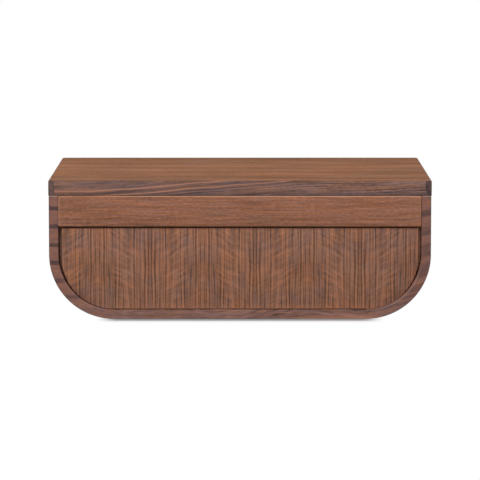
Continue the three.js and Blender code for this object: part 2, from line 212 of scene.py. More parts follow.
class Term:
    """A shader socket that takes part in Python arithmetic."""

    def __init__(self, finish, socket):
        self.finish = finish
        self.socket = socket

    def __add__(self, other):
        return self.finish.curve("ADD", self, other)

    def __sub__(self, other):
        return self.finish.curve("SUBTRACT", self, other)

    def __rsub__(self, other):
        return self.finish.curve("SUBTRACT", other, self)

    def __mul__(self, other):
        return self.finish.curve("MULTIPLY", self, other)

    def __truediv__(self, other):
        return self.finish.curve("DIVIDE", self, other)

    __radd__ = __add__
    __rmul__ = __mul__


class Finish:
    """The nodes of a material or of the world. Lengths are in millimetres."""

    def __init__(self, owner):
        owner.use_nodes = True
        self.tree = owner.node_tree
        self.tree.nodes.clear()

    def put(self, kind, settings=None, inputs=None):
        """A new node, with its settings and then its sockets set."""
        node = self.tree.nodes.new(kind)
        for name, value in (settings or {}).items():
            if name == "stops":
                self.set_stops(node.color_ramp, value)
            else:
                setattr(node, name, value)
        for key, value in (inputs or {}).items():
            if isinstance(value, Term):
                self.tree.links.new(value.socket, node.inputs[key])
            else:
                node.inputs[key].default_value = value
        return node

    @staticmethod
    def set_stops(ramp, stops):
        first, last = ramp.elements
        (first.position, shade), (last.position, end_shade) = stops[0], stops[-1]
        first.color, last.color = (*shade, 1), (*end_shade, 1)
        for place, shade in stops[1:-1]:
            ramp.elements.new(place).color = (*shade, 1)

    def node(self, kind, settings=None, inputs=None, output=0):
        """One output of a new node."""
        return Term(self, self.put(kind, settings, inputs).outputs[output])

    def position(self):
        """Where a point lies in the cabinet's frame, as x, y and z in millimetres."""
        place = self.node("ShaderNodeTexCoord", output="Object")
        scaled = self.node("ShaderNodeVectorMath", {"operation": "SCALE"}, {0: place, "Scale": 1 / MM})
        return [Term(self, socket) for socket in self.put("ShaderNodeSeparateXYZ", {}, {0: scaled}).outputs]

    def waver(self, x, y, z, detail=2.0, roughness=0.5):
        """Soft noise about zero, mostly within half a unit, one unit of x, y and z to a wave."""
        place = self.node("ShaderNodeCombineXYZ", {}, {0: x, 1: y, 2: z})
        inputs = {"Vector": place, "Scale": 1.0, "Detail": detail, "Roughness": roughness}
        return (self.node("ShaderNodeTexNoise", {"noise_dimensions": "3D"}, inputs) - 0.5) * 2

    def curve(self, operation, first, second=0.0):
        """One Math node."""
        return self.node("ShaderNodeMath", {"operation": operation}, {0: first, 1: second})

    def smooth(self, value, low, high):
        """0 below low, 1 above high, and an even turn between."""
        inputs = {0: value, 1: low, 2: high, 3: 0.0, 4: 1.0}
        return self.node("ShaderNodeMapRange", {"interpolation_type": "SMOOTHSTEP"}, inputs)

    def ramp(self, value, *stops):
        """A colour between those of its stops, each a place and a colour."""
        return self.node("ShaderNodeValToRGB", {"stops": stops}, {0: value})

    def blend(self, amount, first, second):
        """Two colours mixed."""
        settings = {"data_type": "RGBA", "blend_type": "MIX", "clamp_factor": True}
        return self.node("ShaderNodeMix", settings, {0: amount, 6: first, 7: second}, 2)

    def stain(self, amount, base, red, green, blue):
        """A colour mixed with one as it looks on a screen."""
        return self.blend(amount, base, (*paint(red, green, blue), 1))

    def dim(self, shade, amount):
        """A colour times a number that varies."""
        return self.node("ShaderNodeVectorMath", {"operation": "SCALE"}, {0: shade, "Scale": amount})

    def dim_by(self, shade, factors):
        """A colour with each channel scaled."""
        return self.node("ShaderNodeVectorMath", {"operation": "MULTIPLY"}, {0: shade, 1: factors})

    def surface(self, base, roughness, height, depth, metal=0.0, specular=0.3):
        """Ends the material. The bump's depth is in millimetres."""
        inputs = {
            "Base Color": base,
            "Roughness": roughness,
            "Metallic": metal,
            "Specular IOR Level": specular,
            "Normal": self.node("ShaderNodeBump", {}, {"Height": height, "Distance": depth * MM}),
        }
        self.put("ShaderNodeOutputMaterial", {}, {0: self.node("ShaderNodeBsdfPrincipled", {}, inputs)})


def tinted(shade, factors):
    """A linear colour with each channel scaled."""
    return tuple(c * f for c, f in zip(shade, factors))


def wood(name):
    """One of the woods' colours, as the user has set it."""
    return tuple(getattr(bpy.context.scene.nightstand_woods, name))


def fitting(name):
    """One of the fittings' colours, as the user has set it."""
    return tuple(getattr(bpy.context.scene.nightstand_fittings, name))


def tint_between(f, tone, middle, dark, light):
    """A colour that runs from a dark tint to a light one."""
    return f.ramp(tone, (0.0, tinted(middle, dark)), (1.0, tinted(middle, light)))


# Tints of dark and of light walnut. Plain walnut is a little bluer in the dark and redder in the light.
PLAIN = ((0.40, 0.43, 0.48), (1.74, 1.66, 1.50))
BROWN = ((0.45, 0.43, 0.38), (1.62, 1.66, 1.82))
COOLER, WARMER = (0.9, 1.0, 1.16), (1.1, 1.0, 0.84)


def walnut(f, tone, middle, pores, tints=PLAIN, warmth=None):
    """Walnut from a tone between 0 and 1, with open pores. Warmth swings about zero."""
    dark, light = (tinted(middle, tint) for tint in tints)
    base = f.dim(f.ramp(tone, (0.0, dark), (0.5, middle), (1.0, light)), 1 - pores * 0.22)
    if warmth is None:
        return base
    return f.blend(warmth + 0.5, f.dim_by(base, COOLER), f.dim_by(base, WARMER))


def lacquered(f, base, pores, specular=0.08):
    """A thin matt lacquer over walnut."""
    f.surface(base, 0.62 + pores * 0.15, 1 - pores, 0.05, specular=specular)


def grain_pores(f, along, across, through):
    """Short dark vessels along the grain."""
    dashes = f.waver(along / 9, across / 0.45, through / 0.45, 1.0)
    patches = f.waver(along / 60, across / 7, through / 7, 1.0)
    return f.smooth(dashes + patches * 0.3, 0.22, 0.5)


def figure(f, place, marks):
    """How far the tone lies above or below the middle one, through marks of a place and a tone."""
    low, high = marks[0][0], marks[-1][0]
    stops = [((mark - low) / (high - low), (tone,) * 3) for mark, tone in marks]
    return f.ramp((place - low) / (high - low), *stops) - 0.5


# Streaks across the top, from its front edge to the wall
TOP_STREAKS = (
    (-406.0, 0.26), (-397.0, 0.34), (-385.0, 0.78), (-366.0, 0.34), (-342.0, 0.32), (-322.0, 0.58),
    (-282.0, 0.52), (-260.0, 0.34), (-225.0, 0.76), (-190.0, 0.36), (-160.0, 0.70), (-120.0, 0.52),
    (-60.0, 0.44), (-28.0, 0.36), (0.0, 0.26),
)


def top_walnut(f):
    """Crown of long calm streaks across the whole top."""
    x, y, z = f.position()
    sway = f.waver(x / 300, y / 120, z / 120, 1.0)
    v = y + sway * 20 + x * 0.012
    broad = f.waver(x / 300, v / 60, z / 60, 2.0)
    streak = f.waver(x / 180, v / 24, z / 24, 2.0, 0.6)
    thread = f.waver(x / 170, v / 7, z / 7, 2.0, 0.6)
    fleck = f.waver(x / 9, v / 26, z / 26, 3.0, 0.6)
    fine = f.waver(x / 110, v / 1.5, z / 1.5, 3.0)
    tone = 0.5 + figure(f, v, TOP_STREAKS) * 0.64 + broad * 0.16 + streak * 0.36 + thread * 0.5
    left_light = 1 - f.smooth(x, -290.0, -180.0)
    tone = tone + fleck * 0.18 + fine * 0.56 + left_light * 0.1
    warmth = f.waver(x / 120, v / 28, z / 28 + 9.0, 2.0, 0.6) * 1.2
    pores = grain_pores(f, x, y, z)
    lacquered(f, walnut(f, tone, wood("top"), pores, BROWN, warmth), pores, 0.02)


def rail_walnut(f):
    """Flecked board of the rail, with a few long thin dark lines, painted highlights on its upper arris and
    left end, and painted shade towards its lower edge.
    """
    x, y, z = f.position()
    sway = f.waver(x / 110, y / 30, z / 60, 1.0)
    v = z + sway * 5
    broad = f.waver(x / 140, y / 12, v / 12, 2.0)
    streak = f.waver(x / 60, y / 2.6, v / 2.2, 2.0, 0.6)
    fleck = f.waver(x / 7, y / 1.4, v / 1.4, 2.0, 0.6)
    dark_line = f.smooth(f.waver(x / 190, y / 1.7, v / 1.9, 2.0), 0.14, 0.4)
    low_line = 1 - f.smooth(f.curve("ABSOLUTE", v - 52.5), 0.6, 1.8)
    # Painted shade: the tone darkens towards the rail's lower edge (low_edge)
    low_edge = 1 - f.smooth(z, 42.0, 48.0)
    tone = 0.5 + broad * 0.3 + streak * 0.5 + fleck * 0.54
    tone = tone - dark_line * 0.1 - low_line * 0.14 - low_edge * 0.1 + x * 0.00012 + (z - 66) * 0.0015
    warmth = f.waver(x / 60, y / 9, v / 3.4 + 9.0, 3.0, 0.65) * 1.6
    pores = grain_pores(f, x, y, z)
    base = walnut(f, tone, wood("rail"), pores, BROWN, warmth)
    # Painted highlights: the upper arris (crest), stronger towards the right, and the left end turn pale
    top, end = UNDER_TOP / MM, HALF_IN / MM
    crest = f.smooth(z, top - 2.3, top - 1.2) * (0.26 + f.smooth(x, -260.0, -120.0) * 0.26)
    left_end = (1 - f.smooth(x, -end + 1.2, -end + 2.2)) * 0.4
    lacquered(f, f.stain(f.curve("MAXIMUM", crest, left_end), base, 205, 155, 124), pores)


# Book-matched leaves of the panel: a leaf's width, where one mirror line lies, how many leaves the
# count starts to the left, and how far a leaf's dark accents lie from its mirror lines
LEAF = 83.8
LEAF_LINE = 23.8
LEAVES_LEFT = 20
ACCENT_INSET = 25.0


def panel_walnut(f):
    """Upright ribbon stripes in mirrored leaves, each with a mottled middle."""
    x, y, z = f.position()
    u = f.curve("PINGPONG", x - LEAF_LINE + LEAVES_LEFT * LEAF, LEAF)
    drift = f.waver(u / 20, y / 40, z / 110, 1.0)
    v = u + drift * 3.2
    wander = f.waver(v / 14, y / 40, z / 160, 1.0)
    hair = f.curve("SINE", v * 2.0 + wander * 3)
    ribbon = f.curve("SINE", v * 1.45 - wander * 4)
    reed = f.curve("SINE", v * 1.07 + wander * 4 + 2.0)
    cane = f.curve("SINE", v * 0.79 - wander * 3 + 4.0)
    strength = 1 + f.waver(v / 5, y / 30, z / 44, 1.0) * 0.9
    stripe = f.waver(v / 3.6 + 40.0, y / 20, z / 60, 1.0)
    strand = f.waver(v / 6.5 + 20.0, y / 30, z / 90, 1.0)
    broad = f.waver(v / 12 + 70.0, y / 40, z / 200, 1.0)
    cloud = f.waver(x / 38, y / 60, z / 24, 2.0, 0.6)
    from_middle = f.curve("ABSOLUTE", v - LEAF / 2)
    accent = 1 - f.smooth(f.curve("ABSOLUTE", from_middle - (LEAF / 2 - ACCENT_INSET)), 0.4, 1.8)
    middle_zone = 1 - f.smooth(from_middle, 13.0, 22.0)
    slant = z - u * 0.6 + f.waver(x / 30, y / 60, z / 30, 1.0) * 6 + ribbon * 0.5
    mottle = f.waver(slant / 2.8, (z + u) / 9, 3.7, 2.0)
    wide_mottle = f.waver(slant / 6.5, (z + u) / 40, 9.1, 1.0)
    lines = (hair * 0.09 + ribbon * 0.14 + reed * 0.12 + cane * 0.11) * strength
    tone = 0.5 + lines + stripe * 0.46 + strand * 0.3 + broad * 0.22 + cloud * 0.1
    tone = tone + mottle * (0.12 + middle_zone * 0.2) + wide_mottle * (0.22 + middle_zone * 0.18)
    tone = tone - accent * 0.16
    tone = tone - f.curve("MAXIMUM", tone - 0.68, 0.0) * 0.5
    # Painted light brightens the top and bottom edges against the shade there, and the lower third is a little
    # yellower
    rim = f.curve("MAXIMUM", f.smooth(z, 28.0, 37.0), (1 - f.smooth(z, -92.2, -82.0)) * 2.0)
    painted_low_arris_light = 1 - f.smooth(z, -92.0, -90.8)
    tone = tone + rim * 0.12 - f.smooth(x, 190.0, 260.0) * 0.06 + painted_low_arris_light * 0.5
    warmth = f.waver(v / 2.4 + 15.0, y / 30, z / 110, 2.0, 0.6)
    warmth = (warmth + f.waver(x / 30, y / 60, z / 24 + 5.0, 2.0) * 0.7) * 1.25
    pores = grain_pores(f, z, x, y)
    base = walnut(f, tone, wood("panel"), pores, PLAIN, warmth)
    low = 1 - f.smooth(z, -22.0, 6.0)
    lacquered(f, f.blend(low, base, f.dim_by(base, (0.98, 0.95, 0.89))), pores)


# Heights of the dark growth bands on the frame's uprights, and how thick each is
LEFT_BANDS = ((69.9, 5.4), (40.9, 5.6), (11.1, 5.4), (-17.4, 5.6), (-46.7, 6.0), (-72.3, 5.4))
RIGHT_BANDS = (
    (63.9, 9.0), (36.4, 13.0), (4.9, 17.0), (-25.4, 18.0), (-52.5, 9.0), (-62.7, 3.4), (-71.3, 4.2),
)
# One band: places as shares of its thickness from its middle, and how dark it is there
BAND_SHAPE = ((-0.66, 0.0), (-0.5, 1.0), (0.42, 0.85), (0.8, 0.0))
# The face towards the drawer: how strongly the painted highlight on its inner arris shows, and how strongly
# painted shade (left and bottom) or painted light (right) covers that face
DIM_FACE, LIT_FACE = (92, 60, 48), (184, 128, 104)
INNER_FACES = {LEFT: (0.14, 0.3, DIM_FACE), BOTTOM: (0.06, 0.0, DIM_FACE), RIGHT: (0.4, 0.8, LIT_FACE)}


def growth_bands(f, height, bands):
    """1 in each band of dark wood and 0 between them. A band ends sharply below and softly above."""
    low, high = BOTTOM_Z / MM, UNDER_TOP / MM
    stops = [
        ((middle + offset * thick - low) / (high - low), (dark,) * 3)
        for middle, thick in sorted(bands)
        for offset, dark in BAND_SHAPE
    ]
    return f.ramp((height - low) / (high - low), *stops)


def frame_depth(f, x, z):
    """How far a point lies from the opening towards the outside of the frame."""
    across = f.curve("MAXIMUM", f.curve("ABSOLUTE", x) - BEND_X / MM, 0.0)
    down = f.curve("MAXIMUM", BEND_Z / MM - z, 0.0)
    return f.curve("SQRT", across * across + down * down) - BEND_INNER / MM


def bottom_figure(f, x, y, z):
    """Tone, tints and warmth of the bottom stave, whose grain runs along it."""
    sway = f.waver(x / 22, y / 160, z / 26, 2.0)
    v = z + sway * 2 - f.smooth(x, 0.0, 60.0) * 9 + f.waver(x / 90, y / 60, 1.3, 1.0) * 7
    broad = f.waver(x / 50, y / 160, v / 5, 2.0, 0.6)
    fibre = f.waver(x / 22, y / 60, v / 1.6, 2.0, 0.6)
    leaning = f.waver((x - v * 2.2) / 5, y / 60, v / 6, 2.0, 0.6)
    here = f.smooth(x, 20.0, 45.0) * (1 - f.smooth(x, 70.0, 100.0))
    tone = 0.52 + broad * 0.6 + fibre * 0.7 + leaning * (0.2 + here * 0.5)
    tone = tone - f.smooth(x, 10.0, 30.0) * (1 - f.smooth(x, 110.0, 140.0)) * 0.1
    warmth = f.waver(x / 70, y / 60, v / 3.4 + 9.0, 2.0, 0.6) * 1.3
    return tone, ((0.43, 0.43, 0.42), (1.66, 1.66, 1.70)), warmth


def upright_figure(f, x, y, z, side):
    """The same of an upright stave: growth bands seen end-on at the front run back along the side."""
    bands, slope = (LEFT_BANDS, 0.0) if side == LEFT else (RIGHT_BANDS, -0.25)
    sway = f.waver(x / 22, y / 160, z / 26, 2.0)
    v = z + sway * 1.2 + (x - side * HALF_OUT / MM) * slope
    broad = f.waver(x / 30, y / 200, v / 9, 2.0, 0.6)
    fibre = f.waver(x / 9, y / 70, v / 1.8, 2.0, 0.6)
    if side == LEFT:
        strength = f.smooth(z, -60.0, -15.0) * 0.26 + 0.36
    else:
        strength = f.smooth(z, 40.0, 56.0) * 0.12 + 0.31
    tone = 0.54 + broad * 0.24 + fibre * 0.3 - growth_bands(f, v, bands) * strength
    warmth = f.waver(x / 14, y / 70, v / 6 + 9.0, 2.0, 0.6)
    return tone, ((0.40, 0.48, 0.62), (1.74, 1.59, 1.38)), warmth


def frame_walnut(f, side):
    """Solid walnut of one stave of the frame, with painted highlights on its inner arris and top, painted
    shade on its outer arris, and painted shade or light on its face towards the drawer.
    """
    x, y, z = f.position()
    marks = bottom_figure(f, x, y, z) if side == BOTTOM else upright_figure(f, x, y, z, side)
    tone, tints, warmth = marks
    pores = grain_pores(f, y, x, z)
    base = walnut(f, tone, wood("edging"), pores, tints, warmth)
    base = f.blend(f.smooth(z, -88.0, -66.0), base, f.dim_by(base, (1.0, 0.92, 0.88)))

    front, wall, bend_x, bend_z = (size / MM for size in (FRONT_Y, WALL, BEND_X, BEND_Z))
    arris_shine, face_share, face_shade = INNER_FACES[side]
    depth = frame_depth(f, x, z)
    near_front = 1 - f.smooth(y, front + 0.8, front + 2.0)
    round_part = 1 - f.smooth(z, bend_z - 50, bend_z - 10)
    # Painted highlight on the inner arris round the bends and the bottom, and along the tops of the staves
    # (crest)
    inner = f.smooth(depth, 0.7, 1.1) * (1 - f.smooth(depth, 1.7, 2.6)) * near_front * round_part
    shine = f.smooth(f.curve("ABSOLUTE", x), bend_x - 2, bend_x + 30) * arris_shine
    crest = f.smooth(z, UNDER_TOP / MM - 2.0, UNDER_TOP / MM - 1.0) * near_front
    before_bend = 1 - f.smooth(x, 205.0, 240.0)
    # Painted light along the lower edge of the bottom's right part
    low_edge = (1 - f.smooth(z, -106.5, -99.0)) * f.smooth(x, 50.0, 170.0) * before_bend
    base = f.stain(low_edge * 0.6, base, 150, 104, 84)
    base = f.stain(f.curve("MAXIMUM", inner * shine, crest * 0.5), base, 160, 138, 134)
    # Painted shade on the outer arris, weaker on the bottom's right part
    outer = f.smooth(depth, wall - 1.6, wall - 0.8) * near_front
    base = f.stain(outer * 0.5 * (1 - f.smooth(x, 0.0, 120.0) * before_bend), base, 70, 50, 47)
    # Painted shade or painted light on the face towards the drawer, just behind the front
    within = (1 - f.smooth(depth, 0.1, 0.5)) * f.smooth(y, front + 2.0, front + 4.0)
    lacquered(f, f.stain(within * face_share, base, *face_shade), pores)


# Streaks along the top's front where they leave its left end
LIPPING_STREAKS = (
    (57.0, 0.44), (62.0, 0.52), (65.0, 0.36), (69.0, 0.54), (71.5, 0.34), (74.5, 0.56), (76.5, 0.32),
    (79.0, 0.60), (80.5, 0.30), (82.4, 0.74), (84.5, 0.28), (86.3, 0.30), (88.4, 0.86), (90.4, 0.40),
    (92.4, 0.22), (94.6, 0.34), (96.8, 0.86), (98.8, 0.46), (102.5, 0.42), (105.0, 0.54), (107.0, 0.38),
    (109.5, 0.52), (111.5, 0.36), (114.0, 0.42),
)


def lipping_walnut(f):
    """Dark streaked walnut whose figure climbs from left to right along the top's front."""
    x, y, z = f.position()
    climb = f.curve("MINIMUM", f.curve("MAXIMUM", x + 235, 0.0), 330.0) * 0.08
    flat_end = f.curve("MAXIMUM", x - 95, 0.0) * 0.03
    sway = f.waver(x / 70, y / 40, z / 40, 2.0)
    v = z - climb - flat_end + sway * 2.2
    right = f.smooth(x, 20.0, 150.0)
    streak = figure(f, v, LIPPING_STREAKS)
    flow = f.waver(x / 130, y / 6, v / 2.6, 2.0, 0.6)
    fibre = f.waver(x / 46, y / 1.6, v / 1.5, 2.0, 0.6)
    fleck = f.waver(x / 12, y / 2, v / 1.5, 2.0)
    dash = f.waver(x / 4, y / 1.2, v / 1.2, 2.0)
    dark_line = f.smooth(f.waver(x / 120, y / 3, v / 1.5 + 30.0, 2.0), 0.1, 0.42)
    # Painted shade darkens the lower part of the strip
    painted_lower_shade = 1 - f.smooth(z, 92.5, 101.0)
    left_end = 1 - f.smooth(x, -240.0, -190.0)
    warm_end = (f.smooth(z, 92.6, 95.0) - f.smooth(z, 98.5, 101.0)) * left_end
    tone = 0.56 + streak * (0.54 - right * 0.3) + flow * (0.46 + right * 0.26)
    tone = tone + fibre * (0.6 + right * 0.2) + fleck * (0.26 + right * 0.1) + dash * (0.26 + right * 0.2)
    tone = tone - dark_line * (0.24 - right * 0.14) - painted_lower_shade * 0.24 + right * 0.03 + warm_end * 0.12
    orange = f.curve("MAXIMUM", f.smooth(streak, 0.12, 0.32) * (1 - right), warm_end * 0.24)
    warmth = f.waver(x / 80, y / 6, v / 3.6 + 9.0, 3.0, 0.6) * 1.8
    pores = grain_pores(f, x, y, z)
    tints = ((0.40, 0.45, 0.53), (1.74, 1.62, 1.41))
    base = walnut(f, tone, wood("lipping"), pores, tints, warmth)
    lacquered(f, f.stain(orange * 0.62, base, 166, 113, 88), pores)


def strip_walnut(f):
    """The same dark walnut for the strips at the ends, with its grain from the front to the wall."""
    x, y, z = f.position()
    sway = f.waver(x / 40, y / 130, z / 40, 2.0) * 7
    flow = f.waver((x + sway) / 5, y / 260, (z + sway) / 5, 2.0, 0.6)
    fibre = f.waver((x + sway) / 1.5, y / 90, (z + sway) / 1.5, 2.0, 0.6)
    dash = f.waver(x / 1.2, y / 8, z / 1.2, 2.0)
    tone = 0.5 + flow * 0.6 + fibre * 0.4 + dash * 0.16
    pores = grain_pores(f, y, x, z)
    lacquered(f, walnut(f, tone, wood("lipping"), pores), pores)


def end_walnut(f):
    """End grain at the front of the strips along the top's ends."""
    x, y, z = f.position()
    ring = f.waver((x + z * 0.15) / 2.4, y / 90, z / 20, 2.0, 0.6)
    vessel = f.smooth(f.waver(x / 0.7, y / 60, z / 0.7, 1.0), 0.2, 0.5)
    tone = 0.46 + ring * 1.1 - f.smooth(x, 0.0, 100.0) * 0.16
    middle = tinted(wood("lipping"), (0.66, 0.72, 0.82))
    lacquered(f, walnut(f, tone, middle, vessel), vessel)


def case_walnut(f):
    """Veneer that runs from the front to the wall round the sides, the bends and the bottom."""
    x, y, z = f.position()
    sway = f.waver(x / 90, y / 150, z / 90, 2.0) * 16
    u, v = x + sway, z - sway
    broad = f.waver(u / 22, y / 420, v / 22, 2.0)
    streak = f.waver(u / 6, y / 320, v / 6, 2.0, 0.6)
    thread = f.waver(u / 1.9, y / 200, v / 1.9, 2.0, 0.6)
    fleck = f.waver(u / 1.2, y / 11, v / 1.2, 2.0)
    tone = 0.5 + broad * 0.36 + streak * 0.44 + thread * 0.3 + fleck * 0.12
    pores = grain_pores(f, y, x, z)
    lacquered(f, walnut(f, tone, wood("case"), pores), pores)


def sheet_walnut(f, dark_below=None):
    """Veneer of the back panel and of the board behind the drawer front. That board gets painted light, and
    painted shade below a level, less on its right.
    """
    x, y, z = f.position()
    v = z + f.waver(x / 200, y / 200, z / 60, 1.0) * 10
    broad = f.waver(x / 300, y / 300, v / 14, 2.0)
    fibre = f.waver(x / 80, y / 80, v / 1.8, 3.0, 0.6)
    tone = 0.5 + broad * 0.3 + fibre * 0.24
    if dark_below is not None:
        # Painted shade below the panel's top, except along the very bottom and less on the right; painted
        # light lifts the rest of the board
        painted_reveal_shade = (1 - f.smooth(z, dark_below - 2, dark_below)) * f.smooth(z, -92.0, -86.0)
        tone = tone + 0.5 - painted_reveal_shade * (0.64 - f.smooth(x, 0.0, 100.0) * 0.22)
    pores = grain_pores(f, x, y, z)
    lacquered(f, walnut(f, tone, wood("case"), pores), pores)


def birch_face(f):
    """Pale rotary-cut birch with soft watery figure."""
    x, y, z = f.position()
    v = z + y * 0.9 + f.waver(x / 130, y / 70, z / 70, 2.0) * 26
    cloud = f.waver(x / 150, v / 11, y / 60, 3.0, 0.6)
    fibre = f.waver(x / 30, v / 1.3, y / 1.6, 2.0)
    fleck = f.smooth(f.waver(x / 7, y / 0.6, z / 0.6, 1.0), 0.28, 0.5)
    tone = 0.5 + cloud * 0.6 + fibre * 0.2
    middle = wood("birch")
    dark, light = tinted(middle, (0.74, 0.68, 0.6)), tinted(middle, (1.1, 1.12, 1.16))
    base = f.dim(f.ramp(tone, (0.0, dark), (0.5, middle), (1.0, light)), 1 - fleck * 0.12)
    f.surface(base, 0.42 + fleck * 0.2, 1 - fleck, 0.03)


PLY = 1.35


def ply_edge(f, node, axis):
    """The layers of plywood at a board's edge, counted through its thickness along one axis."""
    x, y, z = place = f.position()
    through = place["xyz".index(axis)] - reach(node, axis)[0] / MM
    level = (through + f.waver(x / 40, y / 40, z / 40, 1.0) * 0.12) / (2 * PLY)
    long_ply = f.smooth(f.curve("PINGPONG", level, 0.5), 0.22, 0.28)
    speck = f.smooth(f.waver(x / 1.1, y / 1.1, z / 1.1, 2.0), 0.15, 0.5)
    fibre = f.waver(x / 9, y / 9, z / 2, 2.0)
    cross_shade, long_shade = (
        (*tinted(wood("birch"), tint), 1) for tint in ((0.56, 0.46, 0.36), (0.95, 0.9, 0.82))
    )
    base = f.blend(long_ply, cross_shade, long_shade)
    base = f.dim(base, 1 + fibre * 0.12 - speck * (1 - long_ply) * 0.3)
    f.surface(base, 0.55 + speck * 0.2, long_ply, 0.04)


def beech_wood(f):
    """Bare beech with its short dark rays."""
    x, y, z = f.position()
    fibre = f.waver(x / 0.8, y / 0.8, z / 30, 2.0)
    rays = f.smooth(f.waver(x / 0.4, y / 0.4, z / 1.8, 1.0), 0.25, 0.45)
    base = tint_between(f, 0.5 + fibre * 0.5, wood("beech"), (0.8, 0.76, 0.7), (1.1, 1.1, 1.1))
    f.surface(f.dim(base, 1 - rays * 0.25), 0.7 + rays * 0.1, 1 - rays, 0.05)


def zinc_steel(f):
    """Zinc-plated sheet with fine drawing lines along Y, faint clouds and grease in the tracks."""
    x, y, z = f.position()
    lines = f.waver(x / 0.5, y / 60, z / 0.5, 2.0)
    cloud = f.waver(x / 14, y / 30, z / 14, 2.0)
    tone = 0.5 + lines * 0.3 + cloud * 0.6
    base = tint_between(f, tone, fitting("steel"), (0.78, 0.79, 0.8), (1.12, 1.12, 1.12))
    low, high = (place / MM for place in reach("left_slide_drawer_member", "z"))
    away, half = f.curve("ABSOLUTE", z - (low + high) / 2), (high - low) / 2
    film = f.smooth(away, half - 2.4, half - 1.0) * f.smooth(cloud, -0.3, 0.2) * 0.5
    base = f.blend(film, base, (*fitting("grease"), 1))
    rough = 0.3 + cloud * 0.1 + lines * 0.06 - film * 0.16
    f.surface(base, rough, lines, 0.02, metal=1.0, specular=0.5)


def zinc_screw(f):
    """Barrel-plated screws: bright zinc with small dull scratches."""
    x, y, z = f.position()
    cloud = f.waver(x / 1.6, y / 1.6, z / 1.6, 2.0)
    scratch = f.smooth(f.waver(x / 0.25, y / 0.9, z / 0.25, 1.0), 0.2, 0.5)
    tone = 0.5 + cloud * 0.7 - scratch * 0.2
    base = tint_between(f, tone, fitting("steel"), (0.72, 0.73, 0.76), (1.15, 1.14, 1.1))
    rough = 0.32 + scratch * 0.2 + cloud * 0.08
    f.surface(base, rough, 1 - scratch, 0.02, metal=1.0, specular=0.5)


def plastic(f, shade):
    """Moulded plastic with a spark-eroded surface."""
    x, y, z = f.position()
    spark = f.waver(x / 0.35, y / 0.35, z / 0.35, 3.0)
    cloud = f.waver(x / 9, y / 9, z / 9, 1.0)
    base = tint_between(f, 0.5 + cloud * 0.4 + spark * 0.2, shade, (0.86,) * 3, (1.12,) * 3)
    f.surface(base, 0.52 + spark * 0.1, spark, 0.03, specular=0.4)


MAKERS = {
    "top_walnut": top_walnut,
    "rail_walnut": rail_walnut,
    "panel_walnut": panel_walnut,
    "lipping_walnut": lipping_walnut,
    "strip_walnut": strip_walnut,
    "end_walnut": end_walnut,
    "left_frame_walnut": lambda f: frame_walnut(f, LEFT),
    "right_frame_walnut": lambda f: frame_walnut(f, RIGHT),
    "bottom_frame_walnut": lambda f: frame_walnut(f, BOTTOM),
    "case_walnut": case_walnut,
    "sheet_walnut": sheet_walnut,
    "backing_walnut": lambda f: sheet_walnut(f, reach("drawer_panel", "z")[1] / MM),
    "birch_face": birch_face,
    "beech_wood": beech_wood,
    "zinc_steel": zinc_steel,
    "zinc_screw": zinc_screw,
    "moulded_plastic": lambda f: plastic(f, fitting("plastic")),
    "pale_plastic": lambda f: plastic(f, fitting("plunger")),
}
FINISHES = {}


def new_finish(name, maker):
    material = bpy.data.materials.new(name)
    maker(Finish(material))
    return material


def finish_of(name):
    """A finish by name, made when it is first asked for."""
    if name not in FINISHES:
        FINISHES[name] = new_finish(name, MAKERS[name])
    return FINISHES[name]


# Outlines. Each returns a function of the inset, which gives the outline's points for that inset.

ARRIS_STEPS = 4
CORNER_STEPS = 8
BEND_STEPS = 48
STEPS_PER_FLUTE = 8
SMALLEST_CORNER = 0.01


def arc(centre, radius, start, turn, steps):
    """Points along a circle from one angle, through a turn in radians."""
    angles = [start + turn * i / steps for i in range(steps + 1)]
    return [(centre[0] + radius * math.cos(a), centre[1] + radius * math.sin(a)) for a in angles]


def across(side, inner, outer):
    """A span at one side of the cabinet, from low X to high X."""
    return (inner, outer) if side == RIGHT else (-outer, -inner)


def plate(u, v, shares=(1, 1, 1, 1), corners=(0, 0, 0, 0)):
    """A rectangle. Its sides at low u, high u, low v and high v move in by their shares of the inset.
    A corner with a radius is round; they run from low u, low v anticlockwise."""

    def ring(inset):
        low_u, high_u = u[0] + shares[0] * inset, u[1] - shares[1] * inset
        low_v, high_v = v[0] + shares[2] * inset, v[1] - shares[3] * inset
        spots = (
            (low_u, low_v, 1, 1),
            (high_u, low_v, -1, 1),
            (high_u, high_v, -1, -1),
            (low_u, high_v, 1, -1),
        )
        points = []
        for index, (spot_u, spot_v, way_u, way_v) in enumerate(spots):
            radius = corners[index]
            if radius == 0:
                points.append((spot_u, spot_v))
                continue
            left = max(radius - inset, radius * SMALLEST_CORNER)
            centre = (spot_u + way_u * left, spot_v + way_v * left)
            points += arc(centre, left, (index + 2) * QUARTER, QUARTER, CORNER_STEPS)
        return points

    return ring


def bowl(half, high, low, radius):
    """A plate with square upper corners and round lower ones."""

    def ring(inset):
        side, level, curve = half - inset, low + inset, radius - inset
        points = [(-side, high - inset)]
        points += arc((-side + curve, level + curve), curve, math.pi, QUARTER, BEND_STEPS)
        points += arc((side - curve, level + curve), curve, 3 * QUARTER, QUARTER, BEND_STEPS)
        return points + [(side, high - inset)]

    return ring


def bend(side, outer_share):
    """The quarter ring of a lower corner, whose outer curve moves in by its share of the inset."""

    def ring(inset):
        centre = (side * BEND_X, BEND_Z)
        start, turn = (0, -QUARTER) if side == RIGHT else (math.pi, QUARTER)
        outside = arc(centre, BEND_OUTER - outer_share * inset, start, turn, BEND_STEPS)
        return outside + arc(centre, BEND_INNER + inset, start, turn, BEND_STEPS)[::-1]

    return ring


